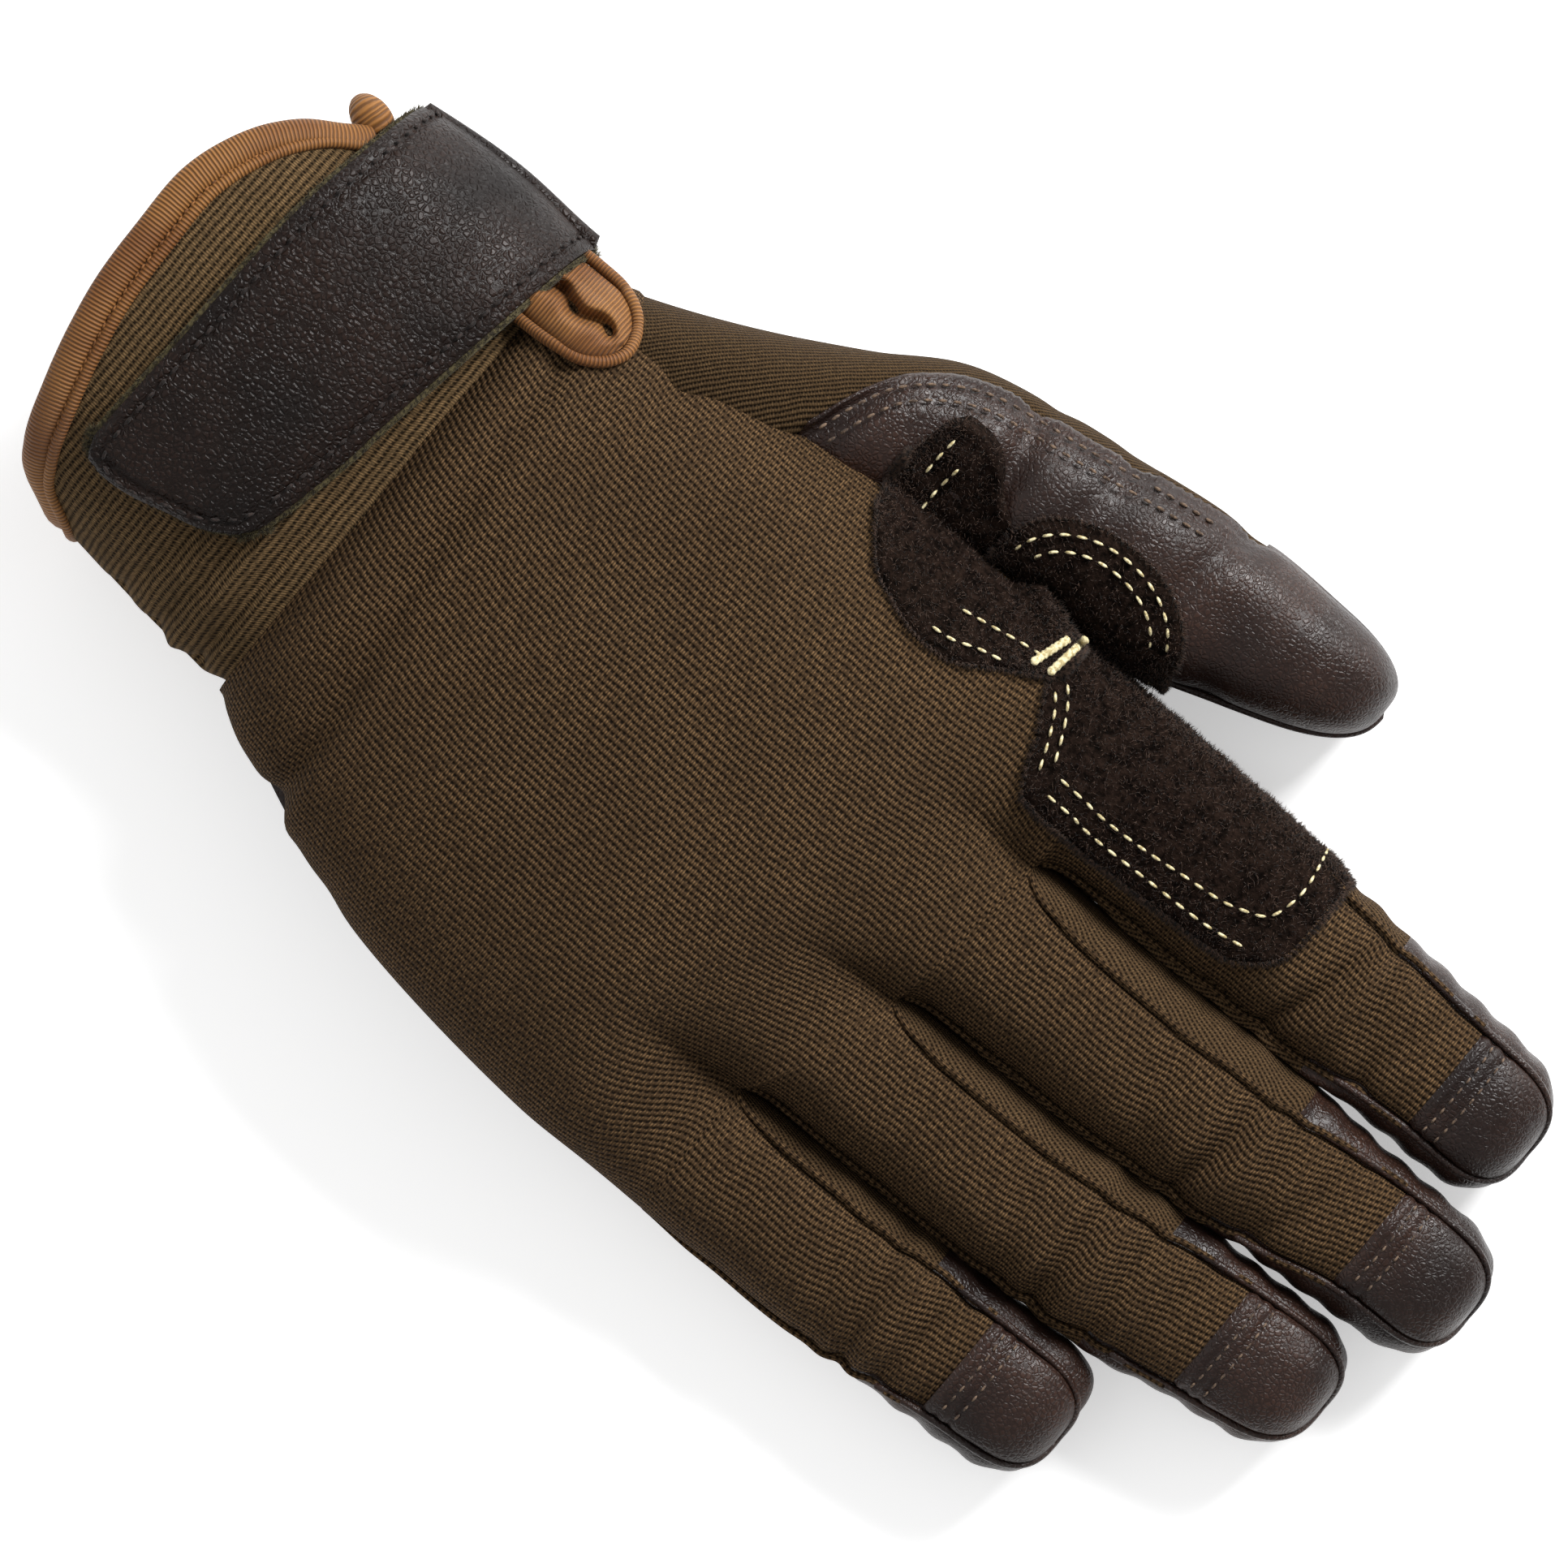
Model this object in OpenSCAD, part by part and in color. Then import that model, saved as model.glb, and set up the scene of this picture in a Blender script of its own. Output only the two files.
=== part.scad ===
// Work glove for the right hand, lying on its palm with the fingers along +Y and the thumb at -X.
// Every panel is a sheet of cloth or hide with a real thickness, sewn edge to edge round the hand.
// Origin: centre of the palm patch's flat face, on the surface that the glove lies on.

/* [Hand] */
// Height of the back of the hand above the table
hand_h = 45; // [42:0.5:50]
// Thickness of the knitted back
knit = 1.4; // [1.2:0.1:1.8]
// Thickness of the goatskin palm
hide = 1.4; // [1.2:0.1:1.8]
// Thickness of the suede patches
suede = 1.0; // [0.8:0.1:1.2]
/* [Fingers] */
// Reach of the index finger from the origin
index_reach = 142.5; // [138:0.5:147]
// Reach of the middle finger from the origin
middle_reach = 151.5; // [147:0.5:156]
// Reach of the ring finger from the origin
ring_reach = 143.5; // [139:0.5:148]
// Reach of the little finger from the origin
little_reach = 116; // [112:0.5:120]
// Reach of the thumb from the origin
thumb_reach = 83; // [80:0.5:86]
// Height of a finger at its knuckle
finger_h = 27; // [25:0.5:29]
// Height of a fingertip
tip_h = 20.5; // [19:0.5:22]
// Largest bend of a finger at its base, degrees
base_bend = 70; // [40:5:75]
// Largest bend of a finger at its middle joint, degrees
middle_bend = 80; // [40:5:85]
/* [Cuff and strap] */
// Height of the cuff above the table
cuff_h = 43; // [40:0.5:46]
// Length of the cuff along the arm
cuff_l = 50; // [46:0.5:54]
// Width of the binding round the cuff
binding_w = 5; // [4:0.25:6]
// Thickness of the leather strap
strap_t = 1.5; // [1.2:0.1:1.8]

/* [Hidden] */

knit_colour = "#4a3b2a";
hide_colour = "#3a302c";
suede_colour = "#241d1a";
tan_colour = "#a8754a";
hook_colour = "#4d4636";

// Heights and clearances
rest = 0.3;       // the lowest stitch of a finger or the cuff above the table
gap = 0.3;        // between neighbouring panels
joint_gap = 0.6;  // between the two sides of a finger joint
sole = 1.2;       // thickness of the palm patch, which the glove lies on
roundness = 2.4;  // exponent of the oval sections: 2 is an ellipse

// Places along the hand
wrist_y = -52;             // where the cuff joins the hand
cuff_y = wrist_y - cuff_l; // the cuff's edge at the middle of the back
slit_y = -40;              // the closed end of the cuff's slit
web_y = [52, 58, 54.5, 44.5, 40];      // the webs between fingers, from the thumb's side
knuckle_y = [66, 68, 63, 53];          // the base joint of each finger
joint_y = [102, 106, 100, 83];         // the middle joint of each finger
cap_y = [125, 131.5, 123, 97];         // where each leather cap starts
thumb_root_y = 14;
thumb_joint_y = 52;

// Every tube is a list of sections [y, left, right, top, bottom]
hand_tube = [
    [cuff_y - 6, -44, 31, cuff_h, rest],
    [-88, -47.5, 33, cuff_h, rest],
    [-70, -48.5, 34.5, cuff_h - 1, rest],
    [wrist_y, -49, 37.5, cuff_h - 2, rest + 1],
    [slit_y, -48.5, 43, hand_h - 2.5, sole + 0.1],
    [-20, -50, 49.5, hand_h, sole + 0.1],
    [0, -52, 53, hand_h, sole + 0.1],
    [20, -52.5, 55.5, hand_h - 2.5, sole + 0.1],
    [40, -52, 56, hand_h - 7.5, sole + 0.1],
    [60, -51.5, 55.5, finger_h + 2, rest]];
thumb_tube = [
    [slit_y, -53, -38, 36, 3],
    [-10, -66.5, -40, 34, 2],
    [thumb_root_y, -77, -55.2, 30, 1],
    [30, -79.5, -55.2, 29, rest],
    [47, -81, -55.3, 27.5, rest],
    [62, -81.2, -57.5, 26, rest],
    [thumb_reach, -81, -64, 23, rest]];
finger_tubes = [
    [[40, -51.5, -23.5, finger_h + 5, rest], [66, -51.5, -24.5, finger_h + 1, rest],
        [100, -50.5, -25.2, tip_h + 3.5, rest], [index_reach, -48, -24.7, tip_h - 1, rest]],
    [[40, -23, 5, finger_h + 6, rest], [66, -22.5, 4.4, finger_h + 2, rest],
        [106, -22.8, 2.6, tip_h + 4, rest], [middle_reach, -23, 0.8, tip_h - 1, rest]],
    [[35, 6, 30.5, finger_h + 5, rest], [62, 5.4, 30.2, finger_h, rest],
        [100, 4.2, 28.6, tip_h + 3, rest], [ring_reach, 1.8, 25.4, tip_h - 1, rest]],
    [[30, 32, 56, finger_h + 3, rest], [53, 31.6, 56, finger_h - 2, rest],
        [83, 31.2, 55.2, tip_h + 2, rest], [little_reach, 31, 53.6, tip_h - 1.5, rest]]];
reach = [index_reach, middle_reach, ring_reach, little_reach];
tip_round = 13;       // how far before its end a fingertip starts to round off
thumb_tip_round = 17;

// Seams: the angle round each section, from +X over the back, where a panel ends
seam_left = [152, 136, 134, 136];   // a finger's seam on its thumb side
seam_right = [22, 18, 18, 16];      // and on its other side
palm_seam = 32;                     // both seams of a finger's palm side, below the horizontal
seam_room = 7;                      // between a side wall at a web and the panels beside it, degrees
column_angle = [[0, 176], [1, 112], [2, 82], [3, 56], [4, -4]];
back_edge = [[wrist_y, 134], [-38, 134], [-32, 142], [-20, 156], [0, 159], [thumb_root_y, 163], [26, 177]];
palm_edge = [[wrist_y, 178], [slit_y, 176], [-20, 158], [0, 150], [thumb_root_y, 150], [26, 177]];

function mix(a, b, t) = a + (b - a) * t;
function ease(t) = t <= 0 ? 0 : t >= 1 ? 1 : t * t * (3 - 2 * t);
function power(v, p) = sign(v) * pow(abs(v), p);
function column(rows, k) = [for (r = rows) [r[0], r[k]]];
function at_y(tube, y, k) = lookup(y, column(tube, k));

// The exponent of the hand's section below its middle: the palm lies flat round its patch
function palm_flatness(y) = lookup(y, [[wrist_y, roundness], [-34, 3.6], [34, 3.6], [60, roundness]]);

// How much of a tube's section is left at y, where its end rounds off over the length len
function round_off(y, end, len) =
    let (t = (y - end + len) / len) t <= 0 ? 1 : pow(max(0.0005, 1 - pow(min(t, 1), 2.4)), 1 / 2.4);

// The point of a tube at y and angle a, d below its surface; end and len describe a closed tip
function tube_point(tube, y, a, d, end = 1000, len = 10, flat = roundness) =
    let (k = round_off(y, end - d, len), l = at_y(tube, y, 1), r = at_y(tube, y, 2),
        top = at_y(tube, y, 3), low = at_y(tube, y, 4), p = sin(a) < 0 ? flat : roundness,
        x = power(cos(a), 2 / p), z = power(sin(a), 2 / p))
    [(l + r) / 2 + x * max(0.4, ((r - l) / 2 - d) * k), y,
        (top + low) / 2 + z * max(0.4, ((top - low) / 2 - d) * k)];
function hand_point(y, a, d) = tube_point(hand_tube, y, a, d, flat = palm_flatness(y));
function finger_point(f, y, a, d) = tube_point(finger_tubes[f], y, a, d, reach[f], tip_round);
function thumb_point(y, a, d) = tube_point(thumb_tube, y, a, d, thumb_reach, thumb_tip_round);

// A sheet with thickness. at(u, v, d) is the point at u across and v along, d below the outer face;
// skip(i, j) leaves a cell out, and same(i, j) is the column that column i shares its points with.
module sheet(at, cols, rows, d0, d1, skip = function(i, j) false, same = function(i, j) i) {
    n = (cols + 1) * (rows + 1);
    key = function(i, j) j * (cols + 1) + same(i, j);
    points = [for (d = [d0, d1], j = [0:rows], i = [0:cols]) at(i / cols, j / rows, d)];
    cells = [for (j = [0:rows - 1], i = [0:cols - 1]) if (!skip(i, j))
        [key(i, j), key(i, j + 1), key(i + 1, j + 1), key(i + 1, j)]];
    edges = [for (c = cells, k = [0:3]) [c[k], c[(k + 1) % 4]]];
    rim = [for (e = edges) if (len([for (f = edges) if (f[0] == e[1] && f[1] == e[0]) 1]) == 0) e];
    triangles = [for (c = cells) each [[c[0], c[1], c[2]], [c[0], c[2], c[3]]]];
    polyhedron(points = points, faces = concat(
        triangles,
        [for (t = triangles) [n + t[2], n + t[1], n + t[0]]],
        [for (e = rim) each [[e[1], e[0], n + e[0]], [e[1], n + e[0], n + e[1]]]]), convexity = 6);
}

// The y of a cut through a joint at height z: a wedge opens below the hinge for bending, and a
// narrow one above it for stretching back
function hinge_z(y, tube) = mix(at_y(tube, y, 4), at_y(tube, y, 3), 0.38);
function cut(y, hinge, z, bend, back, side) =
    y + side * (joint_gap / 2 + max(0, hinge - z) * tan(bend / 2) + max(0, z - hinge) * tan(back / 2));
back_bend = 10;   // how far a finger bends back at its base
base_hinge = [for (f = [0:3]) hinge_z(knuckle_y[f], finger_tubes[f])];
middle_hinge = [for (f = [0:3]) hinge_z(joint_y[f], finger_tubes[f])];
function base_cut(f, a, side) =
    let (z = finger_point(f, knuckle_y[f], a, 0)[2])
    cut(knuckle_y[f], base_hinge[f], z, base_bend + 4, back_bend + 2, side);
function middle_cut(f, a, side) =
    let (z = finger_point(f, joint_y[f], a, 0)[2])
    cut(joint_y[f], middle_hinge[f], z, middle_bend + 4, 1, side);

// ---- Hand ----
// The hand's back and palm run as one sheet over all four knuckles. Each finger has strip + 1
// columns; neighbours share theirs up to the web, and part beyond it.
strip = 4;
hand_rows = 7;
knuckle_rows = 2;
function finger_angle(f, q, up) = up
    ? mix(seam_left[f], seam_right[f], q)
    : mix(180 + palm_seam, 360 - palm_seam, q);
function strip_point(f, q, y, d, up) =
    let (own = finger_point(f, y, finger_angle(f, q, up), d),
        left = f == 0 ? [0, 0, 0] : (finger_point(f - 1, y, finger_angle(f - 1, 1, up), d)
            - finger_point(f, y, finger_angle(f, 0, up), d)) / 2,
        right = f == 3 ? [0, 0, 0] : (finger_point(f + 1, y, finger_angle(f + 1, 0, up), d)
            - finger_point(f, y, finger_angle(f, 1, up), d)) / 2)
    own + left * pow(1 - q, 2) + right * pow(q, 2);
function edge_angle(u, y, up) =
    let (edge = lookup(y, up ? back_edge : palm_edge), a = lookup(u, column_angle))
    up ? (u < 1 ? mix(edge, 112, u) : max(a, 2)) : -(u < 1 ? mix(edge, 112, u) : max(a, -1));
// The point q across finger f's strip; w runs from the wrist to the web (0 to 1) and on to the
// cut at the knuckle (1 to 2)
function hand_sheet(f, q, w, d, up) =
    let (u = min(3.9999, f + q), web = lookup(u, [for (k = [0:4]) [k, web_y[k]]]),
        end = base_cut(f, finger_angle(f, q, up), -1),
        y = w <= 1 ? mix(wrist_y, web, w) : mix(web, end, w - 1),
        own = finger_point(f, y, finger_angle(f, q, up), d))
    w <= 1
        ? mix(hand_point(y, edge_angle(u, y, up), d), strip_point(f, q, y, d, up), ease((y - web + 26) / 26))
        : mix(strip_point(f, q, y, d, up), own, ease((y - web) / 8));
module hand_panel(up, t) {
    cols = 4 * (strip + 1) - 1;
    rows = hand_rows + knuckle_rows;
    sheet(function(u, v, d)
            let (i = round((up ? u : 1 - u) * cols), j = v * rows)
            hand_sheet(floor(i / (strip + 1)), (i % (strip + 1)) / strip,
                j <= hand_rows + 0.01 ? j / hand_rows : 1 + (j - hand_rows) / knuckle_rows, d, up),
        cols, rows, 0, t,
        skip = function(i, j) i % (strip + 1) == strip,
        same = function(i, j) i > 0 && i % (strip + 1) == 0 && j <= hand_rows ? i - 1 : i);
}
module back_panel() { color(knit_colour) hand_panel(true, knit); }
module palm_panel() { color(hide_colour) hand_panel(false, hide); }
// The first stretch of the side walls between the fingers, from the webs to the knuckles
module web_fourchettes() {
    color(knit_colour) for (f = [0:3], side = [0, 1]) {
        angles = side == 0
            ? [180 + palm_seam - seam_room, seam_left[f] + seam_room]
            : [seam_right[f] - seam_room, -palm_seam + seam_room];
        sheet(function(u, v, d)
                let (a = mix(angles[0], angles[1], u), end = base_cut(f, a, -1))
                finger_point(f, mix(min(web_y[f + side] + 6, end - 1.5), end, v), a, d),
            2, 1, 0.5, knit);
    }
}
// Flat suede under the palm, with round corners; each corner is [x, y, direction of its arc's start]
module palm_patch() {
    r = 14;
    corners = [[22, 13, 0], [-21, 15, 90], [-18, -26, 180], [20, -24, 270]];
    color(suede_colour) linear_extrude(sole)
        polygon([for (c = corners, t = [0:15:90]) [c[0] + r * cos(c[2] + t), c[1] + r * sin(c[2] + t)]]);
}
// Suede saddle over the edge of the hand between the thumb and the index finger
saddle_low = [[128, 28], [160, 25], [190, 28]];
saddle_high = [[128, 40], [140, 42], [180, 44], [190, 43]];
module saddle_patch() {
    color(suede_colour) sheet(function(u, v, d)
            let (a = mix(190, 128, u), y = mix(lookup(a, saddle_low), lookup(a, saddle_high), v))
            hand_point(y, a, d),
        6, 4, -suede - patch_lift, -patch_lift);
}

// ---- Thumb ----
// The gusset closes the thumb hole: a half oval from the back's edge round to the palm's edge
module gusset_part(from, d0, d1, a0, a1) {
    sheet(function(u, v, d)
            let (y = mix(from, thumb_root_y, v), t = mix(a0, a1, u),
                up = hand_point(y, lookup(y, back_edge) + 1.5, 0),
                low = hand_point(y, -lookup(y, palm_edge) - 1.5, 0),
                middle = (up[2] + low[2]) / 2, side = mix(low[0], up[0], (1 + cos(t)) / 2) - gap,
                out = side - at_y(thumb_tube, y, 1))
            [side - max(1, out - d) * power(sin(t), 2 / roundness), y,
                middle + ((up[2] - low[2]) / 2 - d) * power(cos(t), 2 / roundness)],
        8, 5, d0, d1);
}
module thumb_gusset() { color(knit_colour) gusset_part(slit_y + 2, 0, knit, 176, 66); }
module thumb_saddle() { color(hide_colour) gusset_part(-10, 0, hide, 65, 4); }
thumb_pivot = [-73, thumb_root_y + 1];
thumb_swing = 40; // how far the thumb swings out
thumb_bend = 60;  // how far its tip bends up
function thumb_start(a) =
    let (x = thumb_point(thumb_pivot[1], a, 0)[0])
    thumb_root_y + joint_gap + max(0, thumb_pivot[0] - x) * tan(thumb_swing + 2);
thumb_hinge = mix(at_y(thumb_tube, thumb_joint_y, 4), at_y(thumb_tube, thumb_joint_y, 3), 0.62);
function thumb_cut(a, side) =
    let (z = thumb_point(thumb_joint_y, a, 0)[2])
    thumb_joint_y + side * (joint_gap / 2 + max(0, z - thumb_hinge) * tan((thumb_bend + 4) / 2));
module thumb_part(a0, a1, cols, tip, t) {
    rows = tip ? 6 : 4;
    sheet(function(u, v, d)
            let (a = mix(a0, a1, u),
                y = tip ? mix(thumb_cut(a, 1), thumb_reach - d, 1 - pow(1 - v, 1.6))
                    : mix(thumb_start(a), thumb_cut(a, -1), v))
            thumb_point(y, a, d), cols, rows, 0, t);
}
module thumb_back() { color(knit_colour) thumb_part(300, 150, 8, false, knit); }
module thumb_front() { color(hide_colour) thumb_part(148, -58, 10, false, hide); }
module thumb_cap() { color(hide_colour) thumb_part(346, 172, 8, true, hide); }
module thumb_tip_front() { color(hide_colour) thumb_part(170, -12, 8, true, hide); }
// Suede patch on the thumb's side of the fork
module thumb_patch() {
    color(suede_colour) sheet(function(u, v, d)
            let (a = mix(106, 44, u), s = sin(180 * u), y = mix(38 - 8 - 6 * s, 38 + 1 + 5 * s, v))
            thumb_point(y, a, d), 5, 3, -suede - patch_lift, -patch_lift);
}

// ---- Fingers ----
module finger_base(f, a0, a1, cols, t) {
    sheet(function(u, v, d)
            let (a = mix(a0, a1, u), y = mix(base_cut(f, a, 1), middle_cut(f, a, -1), v))
            finger_point(f, y, a, d), cols, 2, 0, t);
}
module finger_base_back(f) { color(knit_colour) finger_base(f, seam_left[f], seam_right[f], 6, knit); }
module finger_base_front(f) { color(hide_colour) finger_base(f, 360 - palm_seam, 180 + palm_seam, 6, hide); }
// The two side strips between a finger's back and its palm side
module finger_sides(f, tip) {
    for (s = [[180 + palm_seam - 1.5, seam_left[f] + 1.5], [seam_right[f] - 1.5, -palm_seam + 1.5]])
        if (tip) finger_tip(f, s[0], s[1], 2, joint_y[f], cap_y[f] + 4, knit);
        else finger_base(f, s[0], s[1], 2, knit);
}
// From the middle joint to y1; y1 beyond the reach closes the tip
module finger_tip(f, a0, a1, cols, y0, y1, t) {
    closed = y1 > reach[f];
    sheet(function(u, v, d)
            let (a = mix(a0, a1, u), from = y0 > joint_y[f] ? y0 : middle_cut(f, a, 1),
                to = closed ? reach[f] - d : y1)
            finger_point(f, mix(from, to, closed ? 1 - pow(1 - v, 1.6) : v), a, d),
        cols, closed ? 5 : 2, 0, t);
}
module finger_tip_back(f) {
    color(knit_colour) finger_tip(f, seam_left[f], seam_right[f], 6, joint_y[f], cap_y[f] - gap, knit);
}
module finger_tip_front(f) {
    color(hide_colour) finger_tip(f, 360 - palm_seam, 180 + palm_seam, 6, joint_y[f], 999, hide);
}
module finger_cap(f) {
    color(hide_colour) {
        finger_tip(f, seam_left[f], seam_right[f], 6, cap_y[f], 999, hide);
        finger_tip(f, 178.5 + palm_seam, seam_left[f] + 1.5, 2, cap_y[f] + 4 + gap, 999, hide);
        finger_tip(f, seam_right[f] - 1.5, -palm_seam + 1.5, 2, cap_y[f] + 4 + gap, 999, hide);
    }
}
// The saddle's upper lobe, on the index finger's thumb side
module index_patch() {
    color(suede_colour) sheet(function(u, v, d)
            let (a = mix(205, 92, u), round_end = 88 + 7 * sin(180 * min(1, (1 - u) * 1.6)))
            finger_point(0, mix(base_cut(0, a, 1), round_end, v), a, d),
        7, 3, -suede - patch_lift, -patch_lift);
}

// ---- Cuff ----
slit_a = [141, 178];       // the slit's two edges
cuff_sweep = 11.5;         // how much further the cuff reaches at the middle of the back
side_edge_y = cuff_y + cuff_sweep;
function cuff_edge(a) = side_edge_y - cuff_sweep * pow(max(0, sin(a)), 0.7);
bind_t = 0.6;              // how far the binding stands out of the cloth
band = 4;                  // the slit binding's width, in degrees round the cuff
module cuff_part(a0, a1, cols, d0, d1) {
    sheet(function(u, v, d) let (a = mix(a0, a1, u)) hand_point(mix(cuff_edge(a), wrist_y - gap, v), a, d),
        cols, 4, d0, d1);
}
module cuff_back() { color(knit_colour) cuff_part(slit_a[0] - band - 0.3, 1, 10, 0, knit); }
module cuff_palm() { color(knit_colour) cuff_part(359.5, slit_a[1] + band + 0.3, 12, 0, knit); }
// Elastic that draws the wrist in, sewn to the inside of the seam
module wrist_elastic() {
    color(tan_colour) sheet(function(u, v, d)
            let (a = mix(slit_a[0] - band - 2, slit_a[1] + band + 2 - 360, u))
            hand_point(mix(wrist_y - 8, wrist_y - 1, v), a, d),
        16, 1, knit + 0.2, knit + 1.2);
}
module cuff_binding() {
    color(tan_colour) sheet(function(u, v, d)
            let (a = mix(slit_a[0] - band - 0.3, slit_a[1] + band + 0.3 - 360, u), e = cuff_edge(a) - 0.1)
            hand_point(mix(e - binding_w, e, v), a, d), 18, 1, -bind_t, knit + bind_t);
}
// The binding of the slit: two legs and a closed end
module slit_binding() {
    end_y = slit_y + 1;
    rows = 5;
    color(tan_colour) sheet(function(u, v, d)
            let (i = round(u * 4), a = [slit_a[1] + band, slit_a[1], 160, slit_a[0], slit_a[0] - band][i],
                y = v < 0.99 ? mix(side_edge_y - 1, end_y - 4, v * rows / (rows - 1)) : end_y)
            hand_point(y, a, d), 4, rows, -0.3, knit + 0.3,
        skip = function(i, j) (i == 1 || i == 2) && j < rows - 1);
}

// ---- Strap ----
loop_t = 0.8;    // thickness of the loop patch and of the hook patch
lift = 0.35;     // clearance under each layer of the strap
patch_lift = 0.6; // and under a suede patch
strap_low = [[44, -84], [50, -89.5], [60, -90.5], [90, -90], [120, -88], [172, -86]];
strap_high = [[44, -78], [50, -71], [58, -65], [66, -61.5], [90, -59.5], [120, -56.5], [172, -53]];
module strap_part(a0, a1, cols, edge, d0, d1) {
    sheet(function(u, v, d)
            let (a = mix(a0, a1, u))
            hand_point(mix(lookup(a, strap_low) + edge, lookup(a, strap_high) - edge, v), a, d),
        cols, 2, d0, d1);
}
hook_top = -(loop_t + loop_t + 2 * lift);
strap_in = hook_top - lift;
module loop_patch() { color(hook_colour) strap_part(118, 46, 8, 4, -loop_t - lift, -lift); }
module hook_patch() { color(hook_colour) strap_part(116, 48, 8, 4, hook_top, -loop_t - 2 * lift); }
module strap() { color(hide_colour) strap_part(172, 44, 14, 0, strap_in - strap_t, strap_in); }
module strap_anchor() {
    color(hide_colour) sheet(function(u, v, d)
            let (a = mix(238, 176, u)) hand_point(mix(-86, -53, v), a, d), 6, 1, strap_in - strap_t, -1.2);
}

// ---- The glove ----
fingers = ["index", "middle", "ring", "little"];
back_panel();
palm_panel();
web_fourchettes();
palm_patch();
saddle_patch();
thumb_gusset();
thumb_saddle();
thumb_back();
thumb_front();
thumb_patch();
thumb_cap();
thumb_tip_front();
cuff_back();
cuff_palm();
wrist_elastic();
cuff_binding();
slit_binding();
loop_patch();
strap_anchor();
strap();
hook_patch();
for (f = [0:3]) {
    finger_base_back(f);
    finger_base_front(f);
    finger_sides(f, false);
    finger_tip_back(f);
    finger_tip_front(f);
    finger_sides(f, true);
    finger_cap(f);
}
index_patch();
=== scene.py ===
"""A right-hand touchscreen glove: knitted back, leather palm and fingertips, suede saddle and wrist strap."""

import logging
import math
from dataclasses import dataclass
from enum import Enum
from typing import Callable, Optional, Sequence, Union

import bmesh
import bpy
import numpy as np
from mathutils import Matrix, Vector


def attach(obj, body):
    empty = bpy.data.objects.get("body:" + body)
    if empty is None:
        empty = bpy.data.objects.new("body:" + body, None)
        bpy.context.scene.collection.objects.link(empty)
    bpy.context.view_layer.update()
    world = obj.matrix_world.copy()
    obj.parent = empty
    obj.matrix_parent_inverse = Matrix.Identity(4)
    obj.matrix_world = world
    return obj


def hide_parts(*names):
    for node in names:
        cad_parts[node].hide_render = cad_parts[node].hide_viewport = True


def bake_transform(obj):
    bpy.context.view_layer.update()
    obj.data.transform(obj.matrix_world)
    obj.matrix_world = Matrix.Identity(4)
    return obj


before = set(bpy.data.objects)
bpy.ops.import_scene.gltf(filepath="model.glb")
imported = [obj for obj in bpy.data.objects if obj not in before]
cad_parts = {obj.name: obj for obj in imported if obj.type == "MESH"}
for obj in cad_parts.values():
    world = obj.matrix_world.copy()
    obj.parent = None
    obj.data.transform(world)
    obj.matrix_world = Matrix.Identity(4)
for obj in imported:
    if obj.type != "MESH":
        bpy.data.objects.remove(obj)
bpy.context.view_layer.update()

log = logging.getLogger("glove")
MM = 0.001       # metres in a millimetre
Array = np.ndarray
Grid = Callable[[float], Array]      # a panel's points as a function of the depth below the glove's surface
Points = tuple[tuple[float, float], ...]
Fold = tuple[float, float, float, float]       # place, slant, depth and width of a furrow


# ---- Small mathematics ----
def ease(t: Array) -> Array:
    """Smooth step from 0 to 1, level at both ends."""
    t = np.clip(t, 0, 1)
    return t * t * (3 - 2 * t)


def mix(a: Array, b: Array, t: Array) -> Array:
    """The value a share t of the way from a to b."""
    return a + (b - a) * t


def curve(x: Array, points: Sequence[tuple[float, float]]) -> Array:
    """A smooth curve through points, by cubic Hermite pieces with central-difference slopes.

    Args:
        x: where the curve is read.
        points: its (x, y) points, x rising.

    Returns:
        Its height at each x, level beyond both ends.
    """
    xs, ys = np.array(points, float).T
    slopes = np.gradient(ys, xs)
    x = np.clip(x, xs[0], xs[-1])
    i = np.clip(np.searchsorted(xs, x) - 1, 0, len(xs) - 2)
    step = xs[i + 1] - xs[i]
    t = (x - xs[i]) / step
    return ((1 + 2 * t) * (1 - t) ** 2 * ys[i] + t * (1 - t) ** 2 * step * slopes[i]
            + t * t * (3 - 2 * t) * ys[i + 1] + t * t * (t - 1) * step * slopes[i + 1])


def bell(x: Array, at: Array = 0.0, width: float = 1.0) -> Array:
    """A Gaussian bell of height 1 round x = at: exp of minus ((x - at) / width) squared."""
    return np.exp(-(((x - at) / width) ** 2))


def down(count: int) -> Array:
    """Even steps from 0 to 1 as a column, one for each row of a grid."""
    return np.linspace(0, 1, count)[:, None]


def along(count: int) -> Array:
    """Even steps from 0 to 1 as a row, one for each column of a grid."""
    return np.linspace(0, 1, count)[None]


def crowded(count: int) -> Array:
    """Steps from 0 to 1 as a column, closer together near both ends: (1 - cos t) / 2, t from 0 to pi."""
    return (1 - np.cos(math.pi * down(count))) / 2


def unit(vectors: Array) -> Array:
    """Each row of vectors at length 1."""
    return vectors / (np.linalg.norm(vectors, axis=1, keepdims=True) + 1e-9)


def power(v: Array, p: Array) -> Array:
    """v to the power p, keeping the sign of v."""
    return np.sign(v) * np.abs(v) ** p


def ripple(x: Array, y: Array, wave: float, seed: int) -> Array:
    """Soft irregular relief: the mean of six sine waves of about the length wave, in random directions."""
    rng = np.random.default_rng(seed)
    total = np.zeros(np.broadcast(x, y).shape)
    for _ in range(6):
        way, length, phase = rng.uniform(0, math.tau), wave * rng.uniform(0.7, 1.4), rng.uniform(0, math.tau)
        total += np.sin(math.tau * (x * math.cos(way) + y * math.sin(way)) / length + phase)
    return total / 6


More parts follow.
